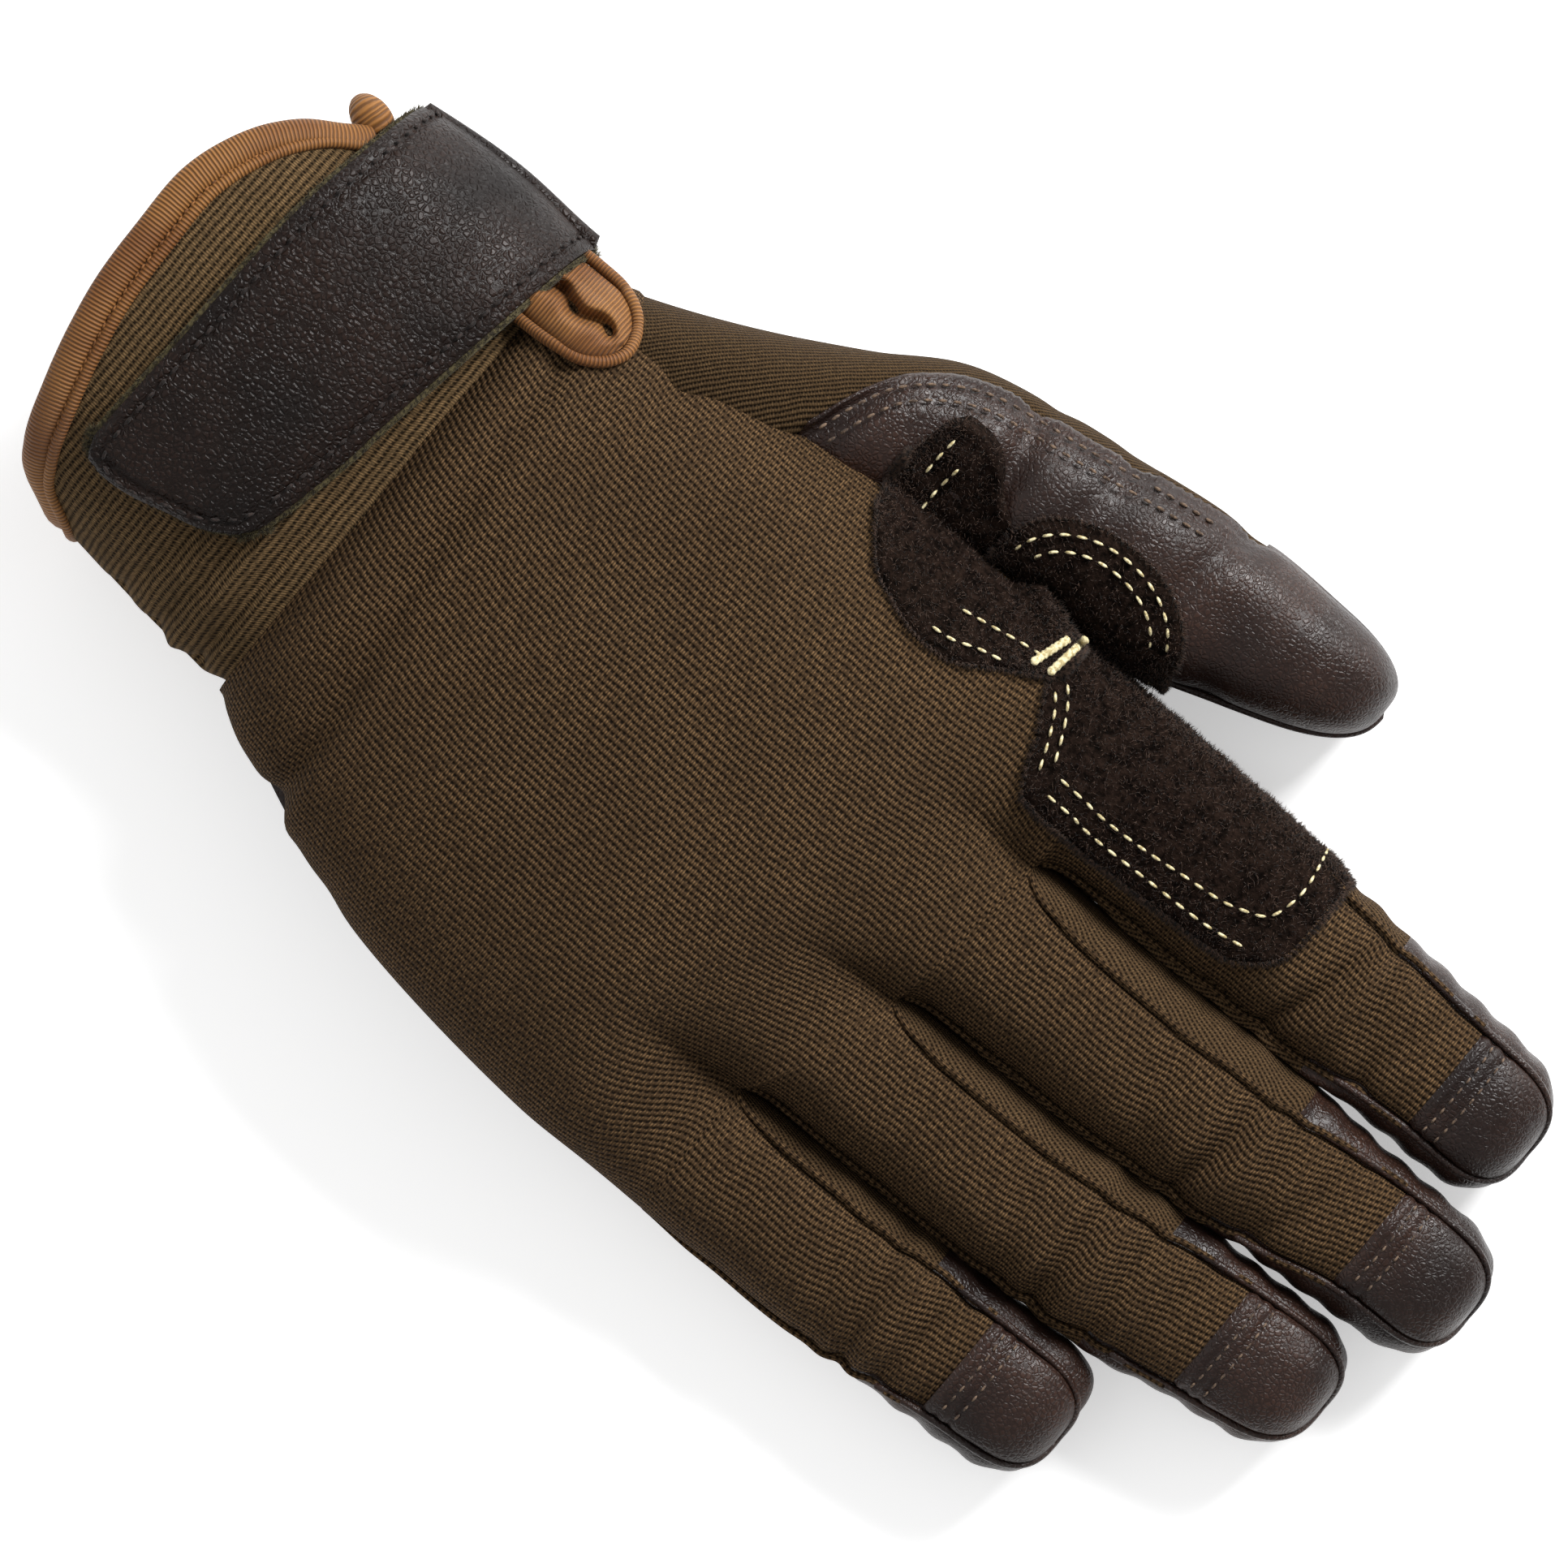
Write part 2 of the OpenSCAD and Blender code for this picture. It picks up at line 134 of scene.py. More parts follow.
# ---- Materials ----
def srgb(code: str) -> tuple[float, float, float, float]:
    """The linear colour of an sRGB hex value such as "#a0b0c0"."""
    parts = [int(code[i:i + 2], 16) / 255 for i in (1, 3, 5)]
    return tuple([c / 12.92 if c <= 0.04045 else ((c + 0.055) / 1.055) ** 2.4 for c in parts] + [1.0])


# A noise node's inputs in order are the place, an unused one, cycles a metre, octaves and roughness.
ADD, SUBTRACT, MULTIPLY, DIVIDE = [{"operation": word} for word in ("ADD", "SUBTRACT", "MULTIPLY", "DIVIDE")]
SINE = {"operation": "SINE"}
SMOOTH = {"interpolation_type": "SMOOTHSTEP"}      # a range: value, from low, from high, to low, to high
COLOUR = {"data_type": "RGBA"}                     # a mix of two colours: inputs 6 and 7, by input 0


class Graph:
    """A new material's node tree, with its surface shader ready."""

    def __init__(self, name: str, roughness: float, sheen: float = 0.0, specular: float = 0.5) -> None:
        """Starts a material called name with constant roughness, sheen and specular level."""
        self.material = bpy.data.materials.new(name)
        self.material.use_nodes = True
        self.tree = self.material.node_tree
        self.shader = self.tree.nodes["Principled BSDF"]
        self.shader.inputs["Roughness"].default_value = roughness
        self.shader.inputs["Sheen Weight"].default_value = sheen
        self.shader.inputs["Sheen Roughness"].default_value = 0.5
        self.shader.inputs["Specular IOR Level"].default_value = specular
        coordinates = self.node("TexCoord").outputs
        self.place = coordinates["Object"]
        self.plan = coordinates["UV"]      # the piece's own map, in millimetres

    def node(self, kind: str, inputs: Union[dict, Sequence] = (), **settings: object) -> bpy.types.Node:
        """Adds a node.

        Args:
            kind: the node's type, without the prefix ShaderNode.
            inputs: the first inputs in order, or socket name or index to input. An input is a value, another
                node's output, or a node, whose first output in use is meant.
            settings: the node's own properties.

        Returns:
            The new node.
        """
        made = self.tree.nodes.new("ShaderNode" + kind)
        for key, value in settings.items():
            setattr(made, key, value)
        for key, value in (inputs if isinstance(inputs, dict) else dict(enumerate(inputs))).items():
            self.plug(value, made.inputs[key])
        return made

    def plug(self, value: object, socket: bpy.types.NodeSocket) -> None:
        """Links a node or an output to socket, or sets the socket to a plain value."""
        if isinstance(value, bpy.types.Node):
            value = next(output for output in value.outputs if output.enabled)
        if isinstance(value, bpy.types.NodeSocket):
            self.tree.links.new(value, socket)
        else:
            socket.default_value = value

    def finish(self, colour: bpy.types.Node, height: bpy.types.Node, depth: float,
               rough: Optional[bpy.types.Node] = None) -> bpy.types.Material:
        """Wires colour, bump and roughness to the shader.

        Args:
            colour: the base colour.
            height: the bump's height, from 0 to 1.
            depth: what a height of 1 stands for, in metres.
            rough: roughness, where it varies.

        Returns:
            The finished material.
        """
        self.plug(colour, self.shader.inputs["Base Color"])
        bump = self.node("Bump", {"Height": height, "Distance": depth, "Strength": 1.0})
        self.plug(bump, self.shader.inputs["Normal"])
        if rough:
            self.plug(rough, self.shader.inputs["Roughness"])
        return self.material


@dataclass(frozen=True)
class Knit:
    """Heathered polyester jersey: ribs of small loops, matt, with paler and darker fibres mixed."""

    name: str
    light: str = "#6c5439"
    mid: str = "#36281a"
    # dark: painted shade, the almost black colour of the holes between loops
    dark: str = "#080402"
    rib: float = 1.1       # distance between ribs, mm
    loop: float = 0.85     # distance between loops along a rib, mm
    loops: float = 0.72    # how strongly the holes between loops show
    angle: float = 0.0     # how far the ribs are turned, degrees
    thread: float = 0.42   # distance between cross threads, mm

    def build(self) -> bpy.types.Material:
        """Ribs are a saw wave over the UV map, with holes in a column between two and fine cross threads; the
        holes are coloured almost black as painted shade.
        """
        g = Graph(self.name, roughness=0.9, specular=0.08)
        turned = g.node("Mapping", {"Vector": g.plan, "Rotation": (0, 0, math.radians(self.angle))})
        across, along_rib = g.node("SeparateXYZ", (turned,)).outputs[:2]
        sway = g.node("Math", (g.node("TexNoise", (g.place, 0, 200, 2)), 0.7), **MULTIPLY)
        column = g.node("Math", (g.node("Math", (across, sway), **ADD), self.rib), **DIVIDE)
        centred = g.node("Math", (g.node("Math", (column,), operation="FRACT"), 0.5), **SUBTRACT)
        off = g.node("Math", (g.node("Math", (centred,), operation="ABSOLUTE"), 2.0), **MULTIPLY)
        shift = g.node("Math", (g.node("Math", (column,), operation="FLOOR"), 0.5), **MULTIPLY)
        row = g.node("Math", (g.node("Math", (along_rib, self.loop), **DIVIDE), shift), **ADD)
        loop = g.node("Math", (g.node("Math", (row, math.tau), **MULTIPLY),), **SINE)
        between = g.node("MapRange", (off, 0.6, 0.15), **SMOOTH)
        gap = g.node("MapRange", (loop, -0.6, 0.4, 1 - self.loops, 1), **SMOOTH)
        hole = g.node("Math", (between, gap), **MULTIPLY)
        turns = g.node("Math", (along_rib, math.tau / self.thread), **MULTIPLY)
        thread = g.node("MapRange", (g.node("Math", (turns,), **SINE), -1, 1), **SMOOTH)
        fibre = g.node("MapRange", (g.node("TexNoise", (g.place, 0, 1600, 2)), 0.3, 0.7), **SMOOTH)
        share = g.node("Math", (fibre, thread), **MULTIPLY)
        base = g.node("Mix", {0: share, 6: srgb(self.mid), 7: srgb(self.light)}, **COLOUR)
        cloud = g.node("MapRange", (g.node("TexNoise", (g.place, 0, 60, 3)), 0.35, 0.75, 0, 0.3), **SMOOTH)
        base = g.node("Mix", {0: cloud, 6: base, 7: srgb(self.mid)}, **COLOUR)
        # painted shade: the holes between loops are coloured almost black
        share = g.node("Math", (hole, 0.92), **MULTIPLY)
        colour = g.node("Mix", {0: share, 6: base, 7: srgb(self.dark)}, **COLOUR)
        ridge = g.node("MapRange", (off, 0.0, 0.9, 0, 0.6), **SMOOTH)
        ridge = g.node("Math", (ridge, g.node("Math", (thread, 0.12), **MULTIPLY)), **ADD)
        height = g.node("Math", (ridge, g.node("Math", (hole, 0.4), **MULTIPLY)), **SUBTRACT)
        return g.finish(colour, height, 0.3 * MM)


@dataclass(frozen=True)
class Hide:
    """Dyed sheepskin: satin, with a fine pebbled grain and long soft creases."""

    name: str
    light: str = "#35221a"
    dark: str = "#170d0a"
    pebble: float = 0.8    # width of a grain pebble, mm
    depth: float = 0.09    # depth of the grain, mm
    rough: float = 0.37
    shine: float = 0.27
    sway: float = 0.9      # how far noise bends the furrows, mm

    def build(self) -> bpy.types.Material:
        """Grain is a net of plates parted by narrow furrows, bent by noise, over long soft creases; the
        furrows are coloured darker as painted shade.
        """
        g = Graph(self.name, roughness=self.rough, specular=self.shine)
        twist = g.node("TexNoise", (g.place, 0, 800, 3)).outputs[1]
        offset = g.node("VectorMath", (twist, [self.sway * MM] * 3), **MULTIPLY)
        where = g.node("VectorMath", (g.place, offset), **ADD)
        inputs = {"Vector": where, "Scale": 1 / (self.pebble * MM)}
        furrow = g.node("TexVoronoi", inputs, feature="DISTANCE_TO_EDGE")
        dome = g.node("MapRange", (furrow, 0.0, 0.3), **SMOOTH)
        crease = g.node("TexNoise", (g.place, 0, 170, 5, 0.6))
        cloud = g.node("MapRange", (g.node("TexNoise", (g.place, 0, 45, 3)), 0.3, 0.7), **SMOOTH)
        base = g.node("Mix", {0: cloud, 6: srgb(self.light), 7: srgb(self.dark)}, **COLOUR)
        # painted shade: the colour darkens towards dark in the grain's furrows
        share = g.node("MapRange", (dome, 0, 0.8, 0.6, 0), **SMOOTH)
        colour = g.node("Mix", {0: share, 6: base, 7: srgb(self.dark)}, **COLOUR)
        plates, folds = [g.node("Math", (relief, 0.8), **MULTIPLY) for relief in (dome, crease)]
        height = g.node("Math", (plates, folds), **ADD)
        rough = g.node("MapRange", (crease, 0.3, 0.7, self.rough - 0.05, self.rough + 0.1), **SMOOTH)
        return g.finish(colour, height, self.depth * MM, rough)


@dataclass(frozen=True)
class Suede:
    """Split hide with a raised nap: almost black, quite matt, brushed lighter and darker in patches."""

    name: str
    light: str = "#251b16"
    dark: str = "#060403"

    def build(self) -> bpy.types.Material:
        """The nap is two layers of noise, one as fine as its fibres and one as broad as a brush stroke."""
        g = Graph(self.name, roughness=1.0, specular=0.03)
        nap = g.node("TexNoise", (g.place, 0, 1100, 4, 0.7))
        stroke = g.node("TexNoise", (g.place, 0, 420, 4, 0.6))
        shares = [g.node("Math", pair, **MULTIPLY) for pair in ((nap, 0.55), (stroke, 0.45))]
        share = g.node("MapRange", (g.node("Math", shares, **ADD), 0.36, 0.66), **SMOOTH)
        colour = g.node("Mix", {0: share, 6: srgb(self.dark), 7: srgb(self.light)}, **COLOUR)
        return g.finish(colour, g.node("Math", (nap, stroke), **ADD), 0.5 * MM)


@dataclass(frozen=True)
class Ribbon:
    """Folded binding tape: satin yarn ribs across the tape, tan, with painted shade darkening the colour
    between the ribs, so that each rib seems to catch the light.
    """

    name: str
    light: str = "#8a5d2e"
    # dark: painted shade between the ribs
    dark: str = "#3c220f"
    mid: str = "#6f441e"
    rib: float = 0.62      # distance between ribs, mm

    def build(self) -> bpy.types.Material:
        """Ribs are a sine wave along the UV map's first axis, which runs along the tape; the colour darkens
        between ribs as painted shade.
        """
        g = Graph(self.name, roughness=0.6, sheen=0.03, specular=0.25)
        along_tape = g.node("SeparateXYZ", (g.plan,)).outputs[0]
        sway = g.node("Math", (g.node("TexNoise", (g.place, 0, 300, 2)), 0.3), **MULTIPLY)
        turns = g.node("Math", (g.node("Math", (along_tape, sway), **ADD), math.tau / self.rib), **MULTIPLY)
        rib = g.node("Math", (turns,), **SINE)
        tone = g.node("MapRange", (g.node("TexNoise", (g.place, 0, 70, 3)), 0.35, 0.7), **SMOOTH)
        base = g.node("Mix", {0: tone, 6: srgb(self.light), 7: srgb(self.mid)}, **COLOUR)
        # painted shade: the colour darkens towards dark between the ribs
        gap = g.node("MapRange", (rib, 0.1, -0.9, 0, 0.7), **SMOOTH)
        colour = g.node("Mix", {0: gap, 6: base, 7: srgb(self.dark)}, **COLOUR)
        return g.finish(colour, g.node("MapRange", (rib, -1, 1), **SMOOTH), 0.2 * MM)


@dataclass(frozen=True)
class Yarn:
    """Sewing thread or loose fibre: matt, with a faint variation of tone along it."""

    name: str
    light: str
    dark: str

    def build(self) -> bpy.types.Material:
        """The tone follows noise a few tenths of a millimetre across."""
        g = Graph(self.name, roughness=0.8, sheen=0.05, specular=0.2)
        tone = g.node("TexNoise", (g.place, 0, 1800, 2))
        share = g.node("MapRange", (tone, 0.35, 0.65), **SMOOTH)
        colour = g.node("Mix", {0: share, 6: srgb(self.light), 7: srgb(self.dark)}, **COLOUR)
        return g.finish(colour, tone, 0.08 * MM)


class Look(Enum):
    """The glove's finishes, each with the record's slot that it belongs to."""

    KNIT = ("knit", Knit("Heather_jersey"))
    CUFF_KNIT = ("rib_knit", Knit("Ribbed_cuff_knit", "#7a6142", "#473825", rib=1.2, loop=0.7, loops=0.6,
                                  angle=90))
    SIDE_KNIT = ("rib_knit", Knit("Side_strip_knit", "#5f4b33", "#433322", rib=0.8, loop=0.7, loops=0.6,
                                  angle=-24))
    THUMB_KNIT = ("rib_knit", Knit("Ribbed_gusset_knit", "#56432c", "#3a2c1c", rib=0.75, loop=0.6, loops=0.6,
                                   angle=-50))
    GOATSKIN = ("goatskin", Hide("Sheepskin"))
    STRAP = ("strap_leather", Hide("Pebbled_strap_leather", "#231712", "#0f0907", 1.0, 0.18, 0.38, 0.16))
    SUEDE = ("suede", Suede("Suede"))
    # painted sheen: the loose fibres are coloured lighter than the suede they come from
    NAP = ("suede", Yarn("Suede_fibre", "#48362b", "#0c0806"))
    BINDING = ("binding", Ribbon("Tan_binding_tape"))
    TAN = ("binding", Yarn("Tan_thread", "#8a5c33", "#55351b"))
    TAPE = ("hook_and_loop", Yarn("Olive_pile_tape", "#50482f", "#262015"))
    # the elastic's second colour is painted shade between its ribs
    ELASTIC = ("elastic", Ribbon("Woven_elastic", "#6a583f", "#40331f", rib=0.9))
    CREAM = ("knit", Yarn("Cream_thread", "#e2d7ae", "#a5956a"))
    BROWN = ("goatskin", Yarn("Brown_thread", "#2c2320", "#120e0c"))
    BUFF = ("goatskin", Yarn("Buff_thread", "#6b5848", "#382c24"))

    def material(self) -> bpy.types.Material:
        """The finish's material, built on first use."""
        return bpy.data.materials.get(self.value[1].name) or self.value[1].build()


# ---- Meshes ----
def add_piece(name: str, vertices: Array, faces: Array, look: Look, uv: Optional[Array] = None,
              sharp: Optional[Array] = None) -> bpy.types.Object:
    """Makes a mesh object from points in millimetres.

    Args:
        name: the piece's name.
        vertices: (n, 3) points.
        faces: (m, 4) or (m, 3) vertex numbers, anticlockwise seen from outside.
        look: its finish.
        uv: (n, 2) map in millimetres.
        sharp: (k, 2) vertex pairs whose edges stay crisp.

    Returns:
        The object, at the origin, with coincident points merged.
    """
    mesh = bpy.data.meshes.new(name)
    mesh.from_pydata((vertices * MM).astype(np.float32), [], faces)
    mesh.polygons.foreach_set("use_smooth", np.ones(len(faces), bool))
    if uv is not None:
        corners = np.zeros(len(mesh.loops), np.int32)
        mesh.loops.foreach_get("vertex_index", corners)
        mesh.uv_layers.new(name="UVMap").uv.foreach_set("vector", uv[corners].astype(np.float32).ravel())
    if sharp is not None:
        ends = np.zeros(len(mesh.edges) * 2, np.int32)
        mesh.edges.foreach_get("vertices", ends)
        code = np.sort(ends.reshape(-1, 2), 1) @ np.array([len(vertices), 1])
        wanted = np.sort(sharp, 1) @ np.array([len(vertices), 1])
        mesh.edges.foreach_set("use_edge_sharp", np.isin(code, wanted))
    work = bmesh.new()
    work.from_mesh(mesh)
    bmesh.ops.remove_doubles(work, verts=work.verts, dist=2e-6)
    work.to_mesh(mesh)
    work.free()
    mesh.materials.append(look.material())
    piece = bpy.data.objects.new(name, mesh)
    bpy.context.scene.collection.objects.link(piece)
    log.info("%s: %d faces", name, len(mesh.polygons))
    return piece


def slab(outer: Array, inner: Array) -> tuple[Array, Array, Array]:
    """A closed sheet with thickness: the grid outer, the grid inner under it, and a rim between.

    Returns:
        Its vertices, its faces turned outwards, and the rim's edges.
    """
    rows, cols = outer.shape[:2]
    number = np.arange(rows * cols).reshape(rows, cols)
    cells = np.stack([number[:-1, :-1], number[1:, :-1], number[1:, 1:], number[:-1, 1:]], -1).reshape(-1, 4)
    loop = np.concatenate([number[0, :-1], number[:-1, -1], number[-1, :0:-1], number[:0:-1, 0]])
    after, total = np.roll(loop, -1), rows * cols
    rim = np.stack([loop, after, after + total, loop + total], -1)
    faces = np.concatenate([cells, cells[:, ::-1] + total, rim])
    normal = np.cross(outer[1:, :-1] - outer[:-1, :-1], outer[:-1, 1:] - outer[:-1, :-1])
    if np.sum(normal * (outer - inner)[:-1, :-1]) < 0:
        faces = faces[:, ::-1]
    edges = np.concatenate([np.stack([loop, after], -1), np.stack([loop, after], -1) + total])
    return np.concatenate([outer.reshape(-1, 3), inner.reshape(-1, 3)]), faces, edges


def join(parts: Sequence[tuple[Array, Array, Array]]) -> tuple[Array, Array, Array]:
    """Several (vertices, faces, UV map) as one."""
    starts = np.cumsum([0] + [len(p[0]) for p in parts])
    return (np.concatenate([p[0] for p in parts]),
            np.concatenate([p[1] + s for p, s in zip(parts, starts)]),
            np.concatenate([p[2] for p in parts]))


def sweep(path: Array, radius: Array, sides: int = 8, flat: float = 1.0,
          across: Optional[Array] = None) -> tuple[Array, Array, Array]:
    """A tube round path: rings of an oval, flat times as thick as wide, closed in a point at both ends.

    Args:
        path: (n, 3) points.
        radius: half its width, one number or one for each point.
        sides: points in a ring.
        flat: its thickness as a share of its width.
        across: the way its width runs, one (3,) or (n, 3); level and square to the path if left out.

    Returns:
        Its vertices, faces and a UV map in millimetres, along and round the tube.
    """
    n = len(path)
    ahead = unit(np.gradient(path, axis=0))
    side = np.cross(ahead, [0, 0, 1.0]) if across is None else np.broadcast_to(across, (n, 3)).astype(float)
    side = unit(side - np.sum(side * ahead, 1, keepdims=True) * ahead)
    up = np.cross(side, ahead)
    turn = np.arange(sides) * math.tau / sides
    size = np.broadcast_to(radius, n).astype(float).copy()
    size[[0, -1]] = 0.0
    ring = side[:, None] * np.cos(turn)[None, :, None] + flat * up[:, None] * np.sin(turn)[None, :, None]
    points = path[:, None] + size[:, None, None] * ring
    number = np.arange(n * sides).reshape(n, sides)
    near, far = number[:-1], number[1:]
    faces = np.stack([near, np.roll(near, -1, 1), np.roll(far, -1, 1), far], -1).reshape(-1, 4)
    uv = np.stack(np.broadcast_arrays(lengths(path)[:, None], turn[None] * size.max()), -1).reshape(-1, 2)
    return points.reshape(-1, 3), faces[:, ::-1], uv


def lengths(path: Array) -> Array:
    """How far each point of a path is along it."""
    return np.concatenate([[0], np.cumsum(np.linalg.norm(np.diff(path, axis=0), axis=1))])


def resample(path: Array, count: int) -> Array:
    """count points spaced evenly along a path."""
    far = lengths(path)
    at = np.linspace(0, far[-1], count)
    return np.stack([np.interp(at, far, path[:, k]) for k in range(path.shape[1])], -1)


def arc_map(points: Array, middle: float) -> Array:
    """A UV map in millimetres for a grid whose columns run across a strip.

    Args:
        points: (rows, cols, 3) grid.
        middle: the first coordinate of each row's middle.

    Returns:
        (rows * cols, 2) map: arc length across each row, and y.
    """
    step = np.linalg.norm(np.diff(points, axis=1), axis=2)
    arc = np.concatenate([np.zeros((len(points), 1)), np.cumsum(step, 1)], 1)
    arc = arc - arc[:, points.shape[1] // 2][:, None] + middle
    return np.stack([arc, points[..., 1]], -1).reshape(-1, 2)


# ---- The glove's skin ----
@dataclass(frozen=True)
class Tube:
    """An oval tube along Y: at y it reaches from left to right and from low to top, in millimetres."""

    stations: tuple[tuple[float, float, float, float, float], ...]
    tip: float = 1000.0                       # where it closes
    tip_length: float = 12.5                  # how long it takes to close
    roundness: float = 2.4                    # exponent of its oval
    bluntness: float = 3.1                    # exponent of its tip in plan
    palm: Points = ((-200, 2.4), (200, 2.4))   # and below its middle, along y

    def section(self, y: Array) -> tuple[Array, Array, Array, Array]:
        """Centre x, half width, centre z and half height at y."""
        left, right, top, low = [curve(y, [(s[0], s[k]) for s in self.stations]) for k in (1, 2, 3, 4)]
        return (left + right) / 2, (right - left) / 2, (top + low) / 2, (top - low) / 2

    def point(self, y: Array, a: Array, d: Array = 0.0, k: Array = 1.0) -> Array:
        """A point of the oval |x/w|^p + |z/h|^p = 1, at the angle a in degrees from +X over the back.

        Args:
            y: place along the tube.
            a: angle round it.
            d: depth below the surface.
            k: the share of the section that is left, near a closed tip.

        Returns:
            (..., 3) points.
        """
        cx, w, cz, h = self.section(y)
        c, s = np.cos(np.radians(a)), np.sin(np.radians(a))
        p = np.where(s < 0, curve(y, self.palm), self.roundness)
        x = cx + power(c, 2 / p) * (w - d) * k
        z = cz + power(s, 2 / p) * (h - d) * k
        x, y, z = np.broadcast_arrays(x, y, z)
        return np.stack([x, y, z], -1)

    def height(self, x: Array, y: Array) -> Array:
        """The height of its upper surface at a plan position; past its sides, that of its widest line."""
        cx, w, cz, h = self.section(y)
        c = np.clip(np.abs(x - cx) / w, 0, 1)
        return cz + h * (1 - c ** self.roundness) ** (1 / self.roundness)

    def angle(self, x: Array, y: Array) -> Array:
        """The angle, over the back, at which the surface stands at plan position x."""
        cx, w, _, _ = self.section(y)
        return np.degrees(np.arccos(power(np.clip((x - cx) / w, -1, 1), self.roundness / 2)))

    def end(self, v: Array, start: Array) -> tuple[Array, Array]:
        """Even rows from start to the closed tip.

        Args:
            v: 0 at start, 1 at the tip.
            start: where the rows begin.

        Returns:
            y, and the share k of the section left there: k = cos(t)^(2/p) as y runs up by sin(t)^(2/p),
            where p is the bluntness.
        """
        begin = self.tip - self.tip_length
        split = (begin - start) / (begin - start + 1.45 * self.tip_length)
        turn = np.clip((v - split) / (1 - split), 0, 1) * math.pi / 2
        p = 2 / self.bluntness
        y = np.where(v < split, mix(start, begin, v / split), begin + self.tip_length * np.sin(turn) ** p)
        return y, np.cos(turn).clip(0) ** p


WRIST = -52.0
WEBS = (57.5, 57.5, 54.5, 45.0, 45.0)      # where each web stands, and the hand's two outer edges
WEB_BLEND = 24.0                           # how long the hand takes to become four fingers
OUTER_START = 28.0                         # how far below the web the outer side strips start
PALM_SEAMS = (212.0, 328.0)


@dataclass(frozen=True)
class Digit:
    """One finger: its tube, its seams and its joints, in millimetres."""

    name: str
    tube: Tube
    seam_left: Points    # (y, angle) of the back's seam on the thumb's side
    seam_right: Points
    knuckle: float
    joint: float
    middle: float         # where its two lengths meet
    cap: float            # where the leather cap starts
    side: float           # where the knitted side strip ends
    spread: float         # half the stretch over which the knuckle bends

    def angle(self, q: Array, y: Array, up: bool) -> Array:
        """The angle at the share q across the back, or across the palm side."""
        if up:
            return mix(curve(y, self.seam_left), curve(y, self.seam_right), q)
        return mix(PALM_SEAMS[0], PALM_SEAMS[1], q)

    def wall(self, s: Array, y: Array, right: bool) -> Array:
        """The angle at the share s down a side, from the back's seam to the palm's."""
        if right:
            return mix(curve(y, self.seam_right), PALM_SEAMS[1] - 360, s)
        return mix(curve(y, self.seam_left), PALM_SEAMS[0], s)


DIGITS = (
    Digit("index", Tube(((40, -51.5, -23.5, 32, .3), (66, -51.5, -23.8, 28, .3), (100, -50.5, -24.5, 24, .3),
                         (142.5, -48, -24.7, 19.5, .3)), 142.5),
          ((57, 150), (100, 142), (125, 138), (142, 141)), ((57, 20), (100, 18), (124, 42), (142, 40)),
          66, 102, 84, 125.5, 108, 8.5),
    Digit("middle", Tube(((40, -23, 5, 33, .3), (66, -22.9, 4.7, 29, .3), (106, -23.3, 3.2, 24.5, .3),
                          (151.5, -23, -.1, 19.5, .3)), 151.5),
          ((57, 128), (80, 119), (110, 122), (131, 138), (151, 140)),
          ((54, 12), (100, 14), (118, 26), (131, 46), (151, 42)), 68, 106, 86, 132, 112, 9.0),
    Digit("ring", Tube(((35, 6, 30.5, 32, .3), (62, 5.4, 30.5, 27, .3), (100, 3.9, 29.4, 23.5, .3),
                        (143.5, 1.8, 24.1, 19.5, .3)), 143.5),
          ((54, 130), (80, 121), (100, 123), (123, 135), (143, 138)),
          ((45, 10), (100, 12), (123, 30), (143, 36)), 63, 100, 81, 123.5, 109, 8.0),
    Digit("little", Tube(((30, 32, 56, 30, .3), (53, 31.4, 56, 25, .3), (83, 30.8, 55.2, 22.5, .3),
                          (116, 31, 53, 19, .3)), 116),
          ((44, 135), (70, 128), (97, 133), (116, 137)),
          ((44, -10), (60, -4), (75, 6), (96, 36), (116, 38)), 53, 83, 68, 97, 85, 7.5),
)
HAND = Tube(((-112, -43, 31, 43, .3), (-100, -44, 31.5, 43, .3), (-88, -46, 33, 42.5, .3),
             (-70, -48, 34.5, 40, .5), (WRIST, -47.5, 37.5, 38.5, 1.5), (-40, -48.5, 43, 42.5, 1.3),
             (-20, -50, 50, 45, 1.3), (0, -52, 54, 45, 1.3), (20, -52.5, 56, 42.5, 1.3),
             (40, -52, 56, 37.5, 1.3), (60, -51.5, 55.5, 29, .3)),
            palm=((WRIST, 2.4), (-34, 3.6), (34, 3.6), (60, 2.4)))
THUMB = Tube(((-46, -48, -30, 34, 8), (-30, -55, -34, 35.5, 3), (-10, -66, -40, 34, 2),
              (0, -72.5, -44, 32, 1.5), (14, -76.5, -49, 30, 1), (30, -79, -53.5, 29, .3),
              (47, -81.2, -54, 27.5, .3), (62, -81.4, -58.8, 25.5, .3), (83, -80.6, -66.5, 22, .3)), 83.2, 15)
HAND_COLUMNS = ((0, 178), (1, 112), (2, 84), (3, 57), (4, -12))
PALM_COLUMNS = ((0, 182), (1, 248), (2, 276), (3, 303), (4, 348))


def hand_angle(u: Array, up: bool) -> Array:
    """The hand's angle at u, which counts the fingers from the thumb's side."""
    return curve(u, HAND_COLUMNS if up else PALM_COLUMNS)


